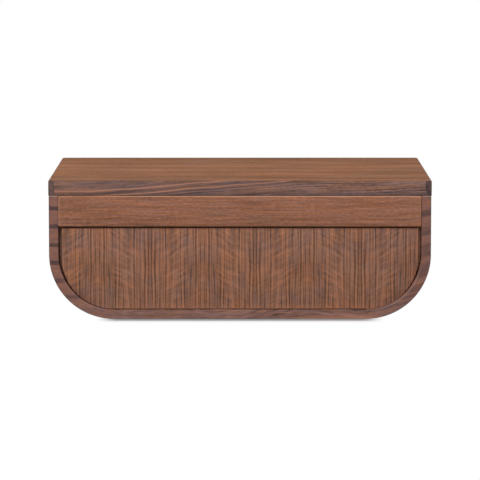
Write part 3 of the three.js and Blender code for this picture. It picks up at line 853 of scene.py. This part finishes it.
def rounded(corners):
    """A closed outline of square corners, each given with its own radius."""
    spots = [Vector((u, v)) for u, v, _ in corners]
    made = []
    for i, (here, (*_, radius)) in enumerate(zip(spots, corners)):
        back = (spots[i - 1] - here).normalized()
        ahead = (spots[(i + 1) % len(spots)] - here).normalized()
        for step in range(ARRIS_STEPS + 1):
            angle = QUARTER * step / ARRIS_STEPS
            along = back * (1 - math.sin(angle)) + ahead * (1 - math.cos(angle))
            made.append(tuple(here + along * radius))
    return made


def fluted(centre, radius, depth, flutes):
    """A circle with shallow grooves round it."""
    count = flutes * STEPS_PER_FLUTE

    def ring(inset):
        points = []
        for i in range(count):
            angle = 2 * math.pi * i / count
            out = radius - inset - depth * max(0.0, math.cos(flutes * angle)) ** 2
            points.append((centre[0] + out * math.cos(angle), centre[1] + out * math.sin(angle)))
        return points

    return ring


def eased(start, end, at_start=0.0, at_end=0.0):
    """Steps of inset and level through a board whose two faces have rounded arrises."""
    way = math.copysign(1, end - start)

    def arris(face, radius, inwards):
        angles = [QUARTER * i / ARRIS_STEPS for i in range(ARRIS_STEPS + 1 if radius else 1)]
        return [(radius * (1 - math.sin(a)), face + inwards * radius * (1 - math.cos(a))) for a in angles]

    return arris(start, at_start, way) + arris(end, at_end, -way)[::-1]


def facing_room(u, v, level):
    return Vector((u, level, v))


def lying(u, v, level):
    return Vector((u, v, level))


def endways(u, v, level):
    return Vector((level, u, v))


# Mesh building

SHARP = math.radians(34)
ARRIS_ANGLE = math.radians(60)
FLAT_ANGLE = math.radians(0.5)
WELD = MM / 1000
SAME_LEVEL = MM / 100
COPY_SEGMENTS = 3


def skin(rings):
    """A closed solid over rings of points, capped at both ends."""
    solid = bmesh.new()
    rows = [[solid.verts.new(spot) for spot in ring] for ring in rings]
    for first, second in zip(rows, rows[1:]):
        for i in range(len(first)):
            j = (i + 1) % len(first)
            solid.faces.new((first[i], first[j], second[j], second[i]))
    solid.faces.new(rows[0][::-1])
    solid.faces.new(rows[-1])
    bmesh.ops.recalc_face_normals(solid, faces=solid.faces)
    return solid


def skinned(outline, steps, place):
    """A closed solid from one outline drawn at each step."""
    return skin([[place(u, v, level) for u, v in outline(inset)] for inset, level in steps])


def as_mesh(solid, name):
    mesh = bpy.data.meshes.new(name)
    solid.to_mesh(mesh)
    solid.free()
    return mesh


def joined(*solids):
    """Several solids in one."""
    whole = bmesh.new()
    for solid in solids:
        part = as_mesh(solid, "part")
        whole.from_mesh(part)
        bpy.data.meshes.remove(part)
    return whole


def carved(solid, cutter):
    """A solid less a cutter."""
    objects = []
    for name, form in (("whole", solid), ("cutter", cutter)):
        objects.append(bpy.data.objects.new(name, as_mesh(form, name)))
        bpy.context.scene.collection.objects.link(objects[-1])
    whole, tool = objects
    cut = whole.modifiers.new("Cut", "BOOLEAN")
    cut.operation, cut.solver, cut.object = "DIFFERENCE", "EXACT", tool
    ready = whole.evaluated_get(bpy.context.evaluated_depsgraph_get())
    left = bmesh.new()
    left.from_mesh(ready.to_mesh())
    ready.to_mesh_clear()
    for piece in objects:
        mesh = piece.data
        bpy.data.objects.remove(piece)
        bpy.data.meshes.remove(mesh)
    return left


def copied(node):
    """A CAD node's own shape, with its flat faces made whole again."""
    solid = bmesh.new()
    solid.from_mesh(frame["nodes"][node].data)
    bmesh.ops.remove_doubles(solid, verts=solid.verts, dist=WELD)
    bmesh.ops.dissolve_limit(
        solid, angle_limit=FLAT_ANGLE, verts=solid.verts, edges=solid.edges, delimit=set()
    )
    return solid


def round_arrises(solid, size, wanted):
    """Rounds the outer edges that the test wants, given an edge's two ends."""
    edges = [
        edge
        for edge in solid.edges
        if len(edge.link_faces) == 2
        and edge.is_convex
        and edge.calc_face_angle(0) > ARRIS_ANGLE
        and wanted(edge.verts[0].co, edge.verts[1].co)
    ]
    bmesh.ops.bevel(
        solid, geom=edges, offset=size, segments=COPY_SEGMENTS, profile=0.5, affect="EDGES",
        clamp_overlap=True,
    )


def dress(name, node, slot, solid, *finishes, pick=None):
    """A finished piece from a solid, for a CAD node. pick gives a face's finish by its normal."""
    for face in solid.faces:
        face.smooth = True
        if pick:
            face.material_index = pick(face.normal)
    for edge in solid.edges:
        edge.smooth = len(edge.link_faces) == 2 and edge.calc_face_angle(math.pi) < SHARP
    mesh = as_mesh(solid, name)
    for finish in finishes:
        mesh.materials.append(finish_of(finish) if isinstance(finish, str) else finish)
    piece = bpy.data.objects.new(name, mesh)
    bpy.context.scene.collection.objects.link(piece)
    shading = piece.modifiers.new("Even shading", "WEIGHTED_NORMAL")
    shading.keep_sharp = True
    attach(piece, frame["nodes"][node]["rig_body"])
    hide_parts(node)


def plywood(name, node, axis, solid):
    """A birch plywood board, with its layers at the edges."""
    index = "xyz".index(axis)
    edge = new_finish(f"{node}_edge", lambda f: ply_edge(f, node, axis))
    dress(name, node, "birch", solid, "birch_face", edge, pick=lambda normal: int(abs(normal[index]) <= 0.9))


def run_round_opening(outer_share):
    """The five boards round the opening: side word, kind and outline. Outer sides move in by a share."""
    for word, side in SIDES:
        shares = (*(1, outer_share)[::side], 0, 1)
        yield word, "upright", plate(across(side, HALF_IN, HALF_OUT), (BEND_Z, UNDER_TOP), shares)
        yield word, "bend", bend(side, outer_share)
    yield "bottom", "flat", plate((-BEND_X, BEND_X), (BOTTOM_Z, FLOOR_Z), (0, 0, outer_share, 1))


def nodes_with(word):
    """The CAD nodes whose names hold a word, in order."""
    return [node for node in sorted(frame["nodes"]) if word in node]


# Pieces


class NightstandBuild:
    """What the operators share."""

    bl_options = {"REGISTER"}

    @property
    def boards(self):
        return bpy.context.scene.nightstand_boards

    @property
    def hardware(self):
        return bpy.context.scene.nightstand_hardware


class NIGHTSTAND_OT_top(NightstandBuild, bpy.types.Operator):
    """Makes the veneered top board and the solid strips round it"""

    bl_idname = "nightstand.top"
    bl_label = "Top board"

    def execute(self, context):
        sizes = self.boards
        low, high = reach("top_panel", "z")
        half = reach("top_right_lipping", "x")[1]
        core = reach("top_panel", "x")[1]
        core_front = reach("top_panel", "y")[0]
        front = reach("top_front_lipping", "y")[0]
        ledge = sizes.top_arris + 0.3 * MM
        under = high - sizes.veneer
        radius = sizes.top_back_corner

        span, run, corner = (-half + ledge, half - ledge), (front + ledge, 0), radius - ledge
        outline = plate(span, run, corners=(0, 0, corner, corner))
        solid = skinned(outline, [(0, under), (0, high)], lying)
        dress("top_face_veneer", "top_panel", "top_walnut", solid, "top_walnut")

        outline = plate((-core, core), (core_front, 0), (0, 0, 0, 1))
        solid = skinned(outline, eased(low, under, sizes.small_arris), lying)
        dress("top_core", "top_panel", "case_walnut", solid, "sheet_walnut")

        steps = eased(low, high, sizes.under_arris, sizes.top_arris)
        steps += [(ledge, high), (ledge, under)]
        solid = skinned(plate((-core, core), (front, core_front), (0, 0, 1, 0)), steps, lying)
        dress("top_front_strip", "top_front_lipping", "lipping_walnut", solid, "lipping_walnut")

        for word, side in SIDES:
            shares = (*(0, 1)[::side], 1, 1)
            corners = (0, 0, *(radius, 0)[::side])
            solid = skinned(plate(across(side, core, half), (front, 0), shares, corners), steps, lying)
            dress(
                f"top_{word}_strip", f"top_{word}_lipping", "lipping_walnut", solid,
                "strip_walnut", "end_walnut", pick=lambda normal: int(normal.y < -0.6),
            )
        return {"FINISHED"}


class NIGHTSTAND_OT_frame(NightstandBuild, bpy.types.Operator):
    """Makes the five edgings round the opening, with rounded arrises at the front"""

    bl_idname = "nightstand.frame"
    bl_label = "Front frame"

    def execute(self, context):
        inner, outer = self.boards.frame_inner_arris, self.boards.frame_outer_arris
        steps = eased(EDGING_Y, FRONT_Y, 0, inner)
        for word, kind, outline in run_round_opening(outer / inner):
            piece, node = ("bend", "bend") if kind == "bend" else ("stave", "front")
            solid = skinned(outline, steps, facing_room)
            finish = f"{word}_frame_walnut"
            dress(f"{word}_edge_{piece}", f"{word}_{node}_edging", "edging_walnut", solid, finish)
        return {"FINISHED"}


class NIGHTSTAND_OT_case(NightstandBuild, bpy.types.Operator):
    """Makes the side boards, the bends, the bottom and the back panel"""

    bl_idname = "nightstand.case"
    bl_label = "Case"

    def execute(self, context):
        steps = eased(0, EDGING_Y, self.boards.small_arris, 0)
        names = {"upright": ("_side", "_side_board"), "bend": ("_corner", "_bend"), "flat": ("", "_board")}
        for word, kind, outline in run_round_opening(1):
            piece, node = (word + end for end in names[kind])
            dress(piece, node, "case_walnut", skinned(outline, steps, facing_room), "case_walnut")
        dress("back_sheet", "back_panel", "case_walnut", copied("back_panel"), "sheet_walnut")
        return {"FINISHED"}


class NIGHTSTAND_OT_cleats(NightstandBuild, bpy.types.Operator):
    """Makes the two bevelled plywood strips that hang the case on the wall"""

    bl_idname = "nightstand.cleats"
    bl_label = "Cleats"

    def execute(self, context):
        ease = self.boards.small_arris / 2
        for node in ("wall_cleat", "case_cleat"):
            solid = copied(node)
            half = reach(node, "x")[1]
            round_arrises(solid, ease, lambda a, b: abs(a.x - b.x) > half)
            plywood(f"{node}_strip", node, "y", solid)
        return {"FINISHED"}


class NIGHTSTAND_OT_drawer_front(NightstandBuild, bpy.types.Operator):
    """Makes the drawer's rail, its set-back veneered panel and the board behind both"""

    bl_idname = "nightstand.drawer_front"
    bl_label = "Drawer front"

    def execute(self, context):
        sizes = self.boards
        x, (front, back), z = (reach("drawer_rail", axis) for axis in "xyz")
        # The lower arris is a quarter as high as the others, which keeps the groove crisp
        outline = plate(x, z, (1, 1, 0.25, 1), (sizes.rail_corner,) * 4)
        solid = skinned(outline, eased(back, front, 0, sizes.rail_arris), facing_room)
        dress("front_rail", "drawer_rail", "rail_walnut", solid, "rail_walnut")

        small = sizes.small_arris
        for piece, node, slot, finish, at_back, at_front in (
            ("front_panel", "drawer_panel", "panel_walnut", "panel_walnut", 0, sizes.panel_arris),
            ("front_backing", "drawer_front_board", "case_walnut", "backing_walnut", small, small),
        ):
            (_, half), (front, back), (low, high) = (reach(node, axis) for axis in "xyz")
            outline = bowl(half, high, low, half - reach_of_flat(node, low))
            solid = skinned(outline, eased(back, front, at_back, at_front), facing_room)
            dress(piece, node, slot, solid, finish)
        return {"FINISHED"}


def reach_of_flat(node, level):
    """How far to the right a CAD node's lowest flat runs."""
    corners = (vertex.co for vertex in frame["nodes"][node].data.vertices)
    return max(corner.x for corner in corners if abs(corner.z - level) < SAME_LEVEL)


# The drawer box's four walls, each with the axis through its thickness
BOX_WALLS = (
    ("drawer_left_side", "x"),
    ("drawer_right_side", "x"),
    ("drawer_box_front", "y"),
    ("drawer_box_back", "y"),
)
LONG_EDGE = 50 * MM


class NIGHTSTAND_OT_drawer_box(NightstandBuild, bpy.types.Operator):
    """Makes the birch plywood drawer box"""

    bl_idname = "nightstand.drawer_box"
    bl_label = "Drawer box"

    def execute(self, context):
        for node, axis in BOX_WALLS:
            solid = copied(node)
            top = reach(node, "z")[1]
            round_arrises(
                solid,
                self.boards.small_arris,
                lambda a, b: min(a.z, b.z) > top - MM and (a - b).length > LONG_EDGE,
            )
            plywood(f"{node}_ply", node, axis, solid)
        plywood("drawer_bottom_ply", "drawer_bottom", "z", copied("drawer_bottom"))
        return {"FINISHED"}


# The members of a slide: which screws hold each, whether its lips turn out, and its slots as shares
# of its length, with 1 for an upright slot, which is half as long
SLIDE_MEMBERS = (
    ("cabinet", "case", False, ((0.16, 0), (0.36, 1), (0.62, 0), (0.78, 1))),
    ("middle", None, False, ((0.1, 0), (0.5, 0), (0.9, 0))),
    ("drawer", "drawer", True, ((0.22, 0), (0.42, 1), (0.66, 0), (0.8, 1))),
)
UPRIGHT_LENGTH = 0.5


def track_outline(web, free, z, sizes, turns_out):
    """A slide member seen from the front: a web with two arms, whose lips turn out or in."""
    sheet, bent = sizes.sheet, sizes.bend_radius
    tight = sheet / 4
    middle, half = (z[0] + z[1]) / 2, (z[1] - z[0]) / 2
    towards = math.copysign(1, free - web)
    if turns_out:
        half -= sizes.turned_out
        tip, first, second = half + sizes.turned_out, free - towards * sheet, free
        first_bend, second_bend = tight, bent
    else:
        tip, first, second = half - sheet - sizes.turned_in, free, free - towards * sheet
        first_bend, second_bend = bent, tight
    arm = (
        (web, half, bent),
        (first, half, first_bend),
        (first, tip, tight),
        (second, tip, tight),
        (second, half - sheet, second_bend),
        (web + towards * sheet, half - sheet, tight),
    )
    corners = [(u, middle + v, radius) for u, v, radius in arm]
    corners += [(u, middle - v, radius) for u, v, radius in arm[::-1]]
    return rounded(corners)


def pill(y, z, length, radius, web, sheet, upright=False):
    """A cutter for a round-ended slot through a slide's web. A slot with no length is a round hole."""
    half = length / 2
    points = []
    for way, start in ((1, -QUARTER), (-1, QUARTER)):
        points += arc((way * half, 0), radius, start, 2 * QUARTER, 2 * ARRIS_STEPS)
    if not length:
        points = arc((0, 0), radius, 0, 4 * QUARTER, 4 * ARRIS_STEPS)[:-1]
    points = [(y + v, z + u) if upright else (y + u, z + v) for u, v in points]
    return skinned(lambda inset: points, [(0, web - 2 * sheet), (0, web + 2 * sheet)], endways)


class NIGHTSTAND_OT_slides(NightstandBuild, bpy.types.Operator):
    """Makes the three bent members of each drawer slide, with the slots stamped in their webs"""

    bl_idname = "nightstand.slides"
    bl_label = "Drawer slides"

    def execute(self, context):
        sizes = self.hardware
        for word, side in SIDES:
            for member, screwed, turns_out, slots in SLIDE_MEMBERS:
                node = f"{word}_slide_{member}_member"
                x, (front, back), z = (reach(node, axis) for axis in "xyz")
                # The web is on the member's outer side, and on the drawer member's inner one
                web, free = x[::-1] if (side == RIGHT) != turns_out else x
                points = track_outline(web, free, z, sizes, turns_out)
                channel = skinned(lambda inset: points, [(0, back), (0, front)], facing_room)
                middle = sum(z) / 2
                holes = []
                for end in ("front", "back") if screwed else ():
                    spot = sum(reach(f"{word}_{screwed}_screw_{end}", "y")) / 2
                    holes.append(pill(spot, middle, 0, sizes.screw_hole, web, sizes.sheet))
                for share, upright in slots:
                    length = sizes.slot_length * (UPRIGHT_LENGTH if upright else 1)
                    spot = front + (back - front) * share
                    width = sizes.slot_width / 2
                    holes.append(pill(spot, middle, length, width, web, sizes.sheet, upright))
                solid = carved(channel, joined(*holes))
                dress(f"{word}_{member}_track", node, "zinc_steel", solid, "zinc_steel")
        return {"FINISHED"}


BORE_SHARE = 0.8


class NIGHTSTAND_OT_catches(NightstandBuild, bpy.types.Operator):
    """Makes the push catch behind each slide: a housing and its spring plunger"""

    bl_idname = "nightstand.catches"
    bl_label = "Push catches"

    def execute(self, context):
        sizes = self.hardware
        corner, ease = sizes.catch_corner, sizes.catch_corner / 3
        for word, _ in SIDES:
            node = f"{word}_push_catch"
            x, (tip, back), z = (reach(node, axis) for axis in "xyz")
            nose = tip + sizes.plunger_reach
            deep = nose + (back - nose) * BORE_SHARE

            def stem(extra):
                """The plunger's outline with some room round it."""
                wide, tall = sizes.plunger_width / 2 + extra, sizes.plunger_height / 2 + extra
                spans = [(sum(ends) / 2 - half, sum(ends) / 2 + half) for ends, half in ((x, wide), (z, tall))]
                return plate(*spans, corners=(sizes.plunger_width / 3,) * 4)

            housing = skinned(plate(x, z, corners=(corner,) * 4), eased(back, nose, ease, ease), facing_room)
            bore = skinned(stem(sizes.plunger_fit), [(0, deep), (0, nose - corner)], facing_room)
            solid = carved(housing, bore)
            dress(f"{word}_catch_housing", node, "grey_plastic", solid, "moulded_plastic")
            solid = skinned(stem(0), eased(deep, tip, 0, ease), facing_room)
            dress(f"{word}_catch_plunger", node, "grey_plastic", solid, "pale_plastic")
        return {"FINISHED"}


# Screws: corners round one, levels in a turn of its thread, how steep the thread's flanks are, how
# wide its point stays, and its head's rim and crown as shares of its height and radius
SCREW_ROUND = 20
LEVELS_PER_TURN = 6
FLANK = 3.4
POINT = 0.04
DOME_STEPS = 6
HEAD_RIM = 0.35
HEAD_CROWN = 0.45
RECESS_TAPER = 0.55
SCREW_TWIST = 2.4


def thread_radius(sizes, span, height, turn):
    """How far a screw's surface lies from its axis, at a height below its head and a share of a turn."""
    core, crest = sizes.thread_core, sizes.shank
    taper = min(1.0, max(POINT, (height + span) / sizes.screw_tip))
    plain = min(1.0, max(0.0, (height + sizes.screw_neck) / sizes.thread_pitch + 0.5))
    ridge = max(0.0, 1 - abs((height / sizes.thread_pitch - turn) % 1 - 0.5) * FLANK)
    return ((core + (crest - core) * ridge) * (1 - plain) + (core + crest) / 2 * plain) * taper


def screw_mesh(sizes, span):
    """A screw with its head's underside at zero and its head pointing up."""
    turns = [j / SCREW_ROUND for j in range(SCREW_ROUND)]
    levels = math.ceil(span / sizes.thread_pitch * LEVELS_PER_TURN)
    heights = [-span + span * i / levels for i in range(levels + 1)]
    rings = [[(thread_radius(sizes, span, height, turn), height) for turn in turns] for height in heights]
    wide, tall = sizes.head_radius, sizes.head_height
    dome = [(wide - tall / 10, 0.0), (wide, tall / 10), (wide, tall * HEAD_RIM)]
    for i in range(1, DOME_STEPS + 1):
        angle = QUARTER * i / DOME_STEPS
        radius = wide * (HEAD_CROWN + (1 - HEAD_CROWN) * math.cos(angle))
        dome.append((radius, tall * (HEAD_RIM + (1 - HEAD_RIM) * math.sin(angle))))
    rings += [[spot] * SCREW_ROUND for spot in dome]
    solid = skin([
        [
            (radius * math.cos(4 * QUARTER * turn), radius * math.sin(4 * QUARTER * turn), height)
            for turn, (radius, height) in zip(turns, ring)
        ]
        for ring in rings
    ])

    arm, half = sizes.recess_span / 2, sizes.recess_width / 2
    cross = [
        (u * a - v * b, u * b + v * a)
        for a, b in ((1, 0), (0, 1), (-1, 0), (0, -1))
        for u, v in ((arm, half), (half, half), (half, arm))
    ]

    def narrowed(share):
        return [(u * (1 - share), v * (1 - share)) for u, v in cross]

    steps = [(RECESS_TAPER, tall - sizes.recess_depth), (0, tall + MM / 10)]
    return as_mesh(carved(solid, skinned(narrowed, steps, lying)), "screw")


class NIGHTSTAND_OT_screws(NightstandBuild, bpy.types.Operator):
    """Makes the pan-head screws, each with its thread and cross recess"""

    bl_idname = "nightstand.screws"
    bl_label = "Screws"

    def execute(self, context):
        sizes = self.hardware
        masters = {}
        for node in nodes_with("_screw_"):
            low, high = (Vector(corner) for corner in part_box(node))
            if "case_screw" in node or "drawer_screw" in node:
                # A case screw's head points at the drawer, and a drawer screw's head at the case
                side = LEFT if node.startswith("left") else RIGHT
                axis, way = 0, -side if "case_screw" in node else side
            else:
                axis, way = 1, 1 if node.startswith("front") else -1
            out = Vector((0, 0, 0))
            out[axis] = way
            seat = (low + high) / 2
            seat[axis] = (high if way > 0 else low)[axis] - way * sizes.head_height
            span = round((high - low)[axis] / MM, 1) * MM - sizes.head_height
            if span not in masters:
                masters[span] = screw_mesh(sizes, span)
            solid = bmesh.new()
            solid.from_mesh(masters[span])
            turn = Vector((0, 0, 1)).rotation_difference(out).to_matrix().to_4x4()
            # Each recess stands at an angle of its own
            twist = Matrix.Rotation(len(node) + SCREW_TWIST * seat.x / HALF_IN, 4, "Z")
            solid.transform(Matrix.Translation(seat) @ turn @ twist)
            dress(f"{node}_turned", node, "zinc_steel", solid, "zinc_screw")
        for mesh in masters.values():
            bpy.data.meshes.remove(mesh)
        return {"FINISHED"}


class NIGHTSTAND_OT_dowels(NightstandBuild, bpy.types.Operator):
    """Makes the fluted beech dowels between the sides and the top"""

    bl_idname = "nightstand.dowels"
    bl_label = "Dowels"

    def execute(self, context):
        sizes = self.hardware
        ease = sizes.dowel_ease
        for node in nodes_with("_dowel_"):
            x, y, (low, high) = (reach(node, axis) for axis in "xyz")
            centre = (sum(x) / 2, sum(y) / 2)
            outline = fluted(centre, (x[1] - x[0]) / 2, sizes.flute_depth, sizes.flutes)
            steps = [(ease, low), (0, low + ease), (0, high - ease), (ease, high)]
            dress(f"{node}_fluted", node, "beech", skinned(outline, steps, lying), "beech_wood")
        return {"FINISHED"}


# The soft box's size, place and aim, the camera's sensor in millimetres and range, and the floor
BOX_SIZE = (3.0, 2.0)
BOX_PLACE = Vector((-0.8, -3.9, 2.4))
BOX_AIM = Vector((0, -0.2, 0))
SENSOR = 36
NEAR, FAR = 0.1, 50
FLOOR_HALF, FLOOR_SQUARES = 8, 8
WHITE = (1, 1, 1, 1)


def shown(f):
    """1 for rays that show a thing itself, and 0 for those that only carry its light."""
    kinds = ("Camera", "Glossy", "Transmission")
    camera, glossy, through = (f.node("ShaderNodeLightPath", output=f"Is {kind} Ray") for kind in kinds)
    return f.curve("MINIMUM", camera + glossy + through, 1.0)


def pale_floor(f):
    """White floor that shows its own shading only under the cabinet."""
    settings = bpy.context.scene.nightstand_stage
    x, y, _ = f.position()
    sideways = f.smooth(f.curve("ABSOLUTE", x), BEND_X / MM - 8, BEND_X / MM + 34)
    ahead = f.smooth(FRONT_Y / MM - y, -10.0, settings.shadow_margin / MM)
    behind = f.smooth(y, 20.0, 120.0)
    share = 1 - (1 - sideways) * (1 - ahead) * (1 - behind) * settings.shadow
    diffuse = f.node("ShaderNodeBsdfDiffuse", {}, {0: (*settings.floor, 1)})
    white = f.node("ShaderNodeEmission", {}, {0: WHITE, 1: 1.0})
    mixed = f.node("ShaderNodeMixShader", {}, {0: share * shown(f), 1: diffuse, 2: white})
    f.put("ShaderNodeOutputMaterial", {}, {0: mixed})


class NIGHTSTAND_OT_stage(NightstandBuild, bpy.types.Operator):
    """Sets the floor, the light and the camera"""

    bl_idname = "nightstand.stage"
    bl_label = "Stage"

    def execute(self, context):
        settings = context.scene.nightstand_stage
        self.lay_floor(context.scene, settings)
        self.light(context.scene, settings)
        self.place_camera(context.scene, settings)
        return {"FINISHED"}

    def lay_floor(self, scene, settings):
        solid = bmesh.new()
        bmesh.ops.create_grid(solid, x_segments=FLOOR_SQUARES, y_segments=FLOOR_SQUARES, size=FLOOR_HALF)
        floor = bpy.data.objects.new("floor", as_mesh(solid, "floor"))
        floor.data.materials.append(new_finish("pale_floor", pale_floor))
        floor.location = (0, 0, BOTTOM_Z - settings.floor_gap)
        scene.collection.objects.link(floor)

    def light(self, scene, settings):
        world = bpy.data.worlds.new("studio")
        f = Finish(world)
        sky = f.node("ShaderNodeBackground", {}, {0: WHITE, 1: settings.sky})
        white = f.node("ShaderNodeBackground", {}, {0: WHITE, 1: 1.0})
        mixed = f.node("ShaderNodeMixShader", {}, {0: shown(f), 1: sky, 2: white})
        f.put("ShaderNodeOutputWorld", {}, {0: mixed})
        scene.world = world

        lamp = bpy.data.lights.new("soft_box", "AREA")
        lamp.shape = "RECTANGLE"
        lamp.size, lamp.size_y = BOX_SIZE
        lamp.energy = settings.key
        box = bpy.data.objects.new("soft_box", lamp)
        box.location = BOX_PLACE
        box.rotation_mode = "QUATERNION"
        box.rotation_quaternion = (BOX_AIM - BOX_PLACE).to_track_quat("-Z", "Y")
        scene.collection.objects.link(box)

    def place_camera(self, scene, settings):
        lens = bpy.data.cameras.new("photo_camera")
        lens.lens = settings.lens
        lens.sensor_width = SENSOR
        lens.clip_start, lens.clip_end = NEAR, FAR
        camera = bpy.data.objects.new("photo_camera", lens)
        camera.location = (0, -settings.distance, settings.height)
        camera.rotation_euler = (QUARTER - settings.pitch, 0, 0)
        scene.collection.objects.link(camera)
        scene.camera = camera
        scene.view_settings.view_transform = "Standard"


class NIGHTSTAND_PT_panel(bpy.types.Panel):
    """Lists the nightstand's pieces, sizes and colours"""

    bl_label = "Nightstand"
    bl_idname = "NIGHTSTAND_PT_panel"
    bl_space_type = "VIEW_3D"
    bl_region_type = "UI"
    bl_category = "Nightstand"

    def draw(self, context):
        layout = self.layout
        for operator in OPERATORS:
            layout.operator(operator.bl_idname)
        for name, group in GROUPS.items():
            box = layout.box()
            for key in group.__annotations__:
                box.prop(getattr(context.scene, name), key)


GROUPS = {
    "nightstand_boards": BoardSizes,
    "nightstand_woods": WoodColours,
    "nightstand_fittings": FittingColours,
    "nightstand_hardware": HardwareSizes,
    "nightstand_stage": StageSettings,
}
OPERATORS = (
    NIGHTSTAND_OT_top,
    NIGHTSTAND_OT_frame,
    NIGHTSTAND_OT_case,
    NIGHTSTAND_OT_cleats,
    NIGHTSTAND_OT_drawer_front,
    NIGHTSTAND_OT_drawer_box,
    NIGHTSTAND_OT_slides,
    NIGHTSTAND_OT_catches,
    NIGHTSTAND_OT_screws,
    NIGHTSTAND_OT_dowels,
    NIGHTSTAND_OT_stage,
)
CLASSES = (*GROUPS.values(), *OPERATORS, NIGHTSTAND_PT_panel)


def register():
    for kind in CLASSES:
        bpy.utils.register_class(kind)
    for name, group in GROUPS.items():
        setattr(bpy.types.Scene, name, bpy.props.PointerProperty(type=group))


def unregister():
    for name in GROUPS:
        delattr(bpy.types.Scene, name)
    for kind in reversed(CLASSES):
        bpy.utils.unregister_class(kind)


def main():
    register()
    bpy.ops.nightstand.top()
    bpy.ops.nightstand.frame()
    bpy.ops.nightstand.case()
    bpy.ops.nightstand.cleats()
    bpy.ops.nightstand.drawer_front()
    bpy.ops.nightstand.drawer_box()
    bpy.ops.nightstand.slides()
    bpy.ops.nightstand.catches()
    bpy.ops.nightstand.screws()
    bpy.ops.nightstand.dowels()
    bpy.ops.nightstand.stage()


if __name__ == "__main__":
    main()
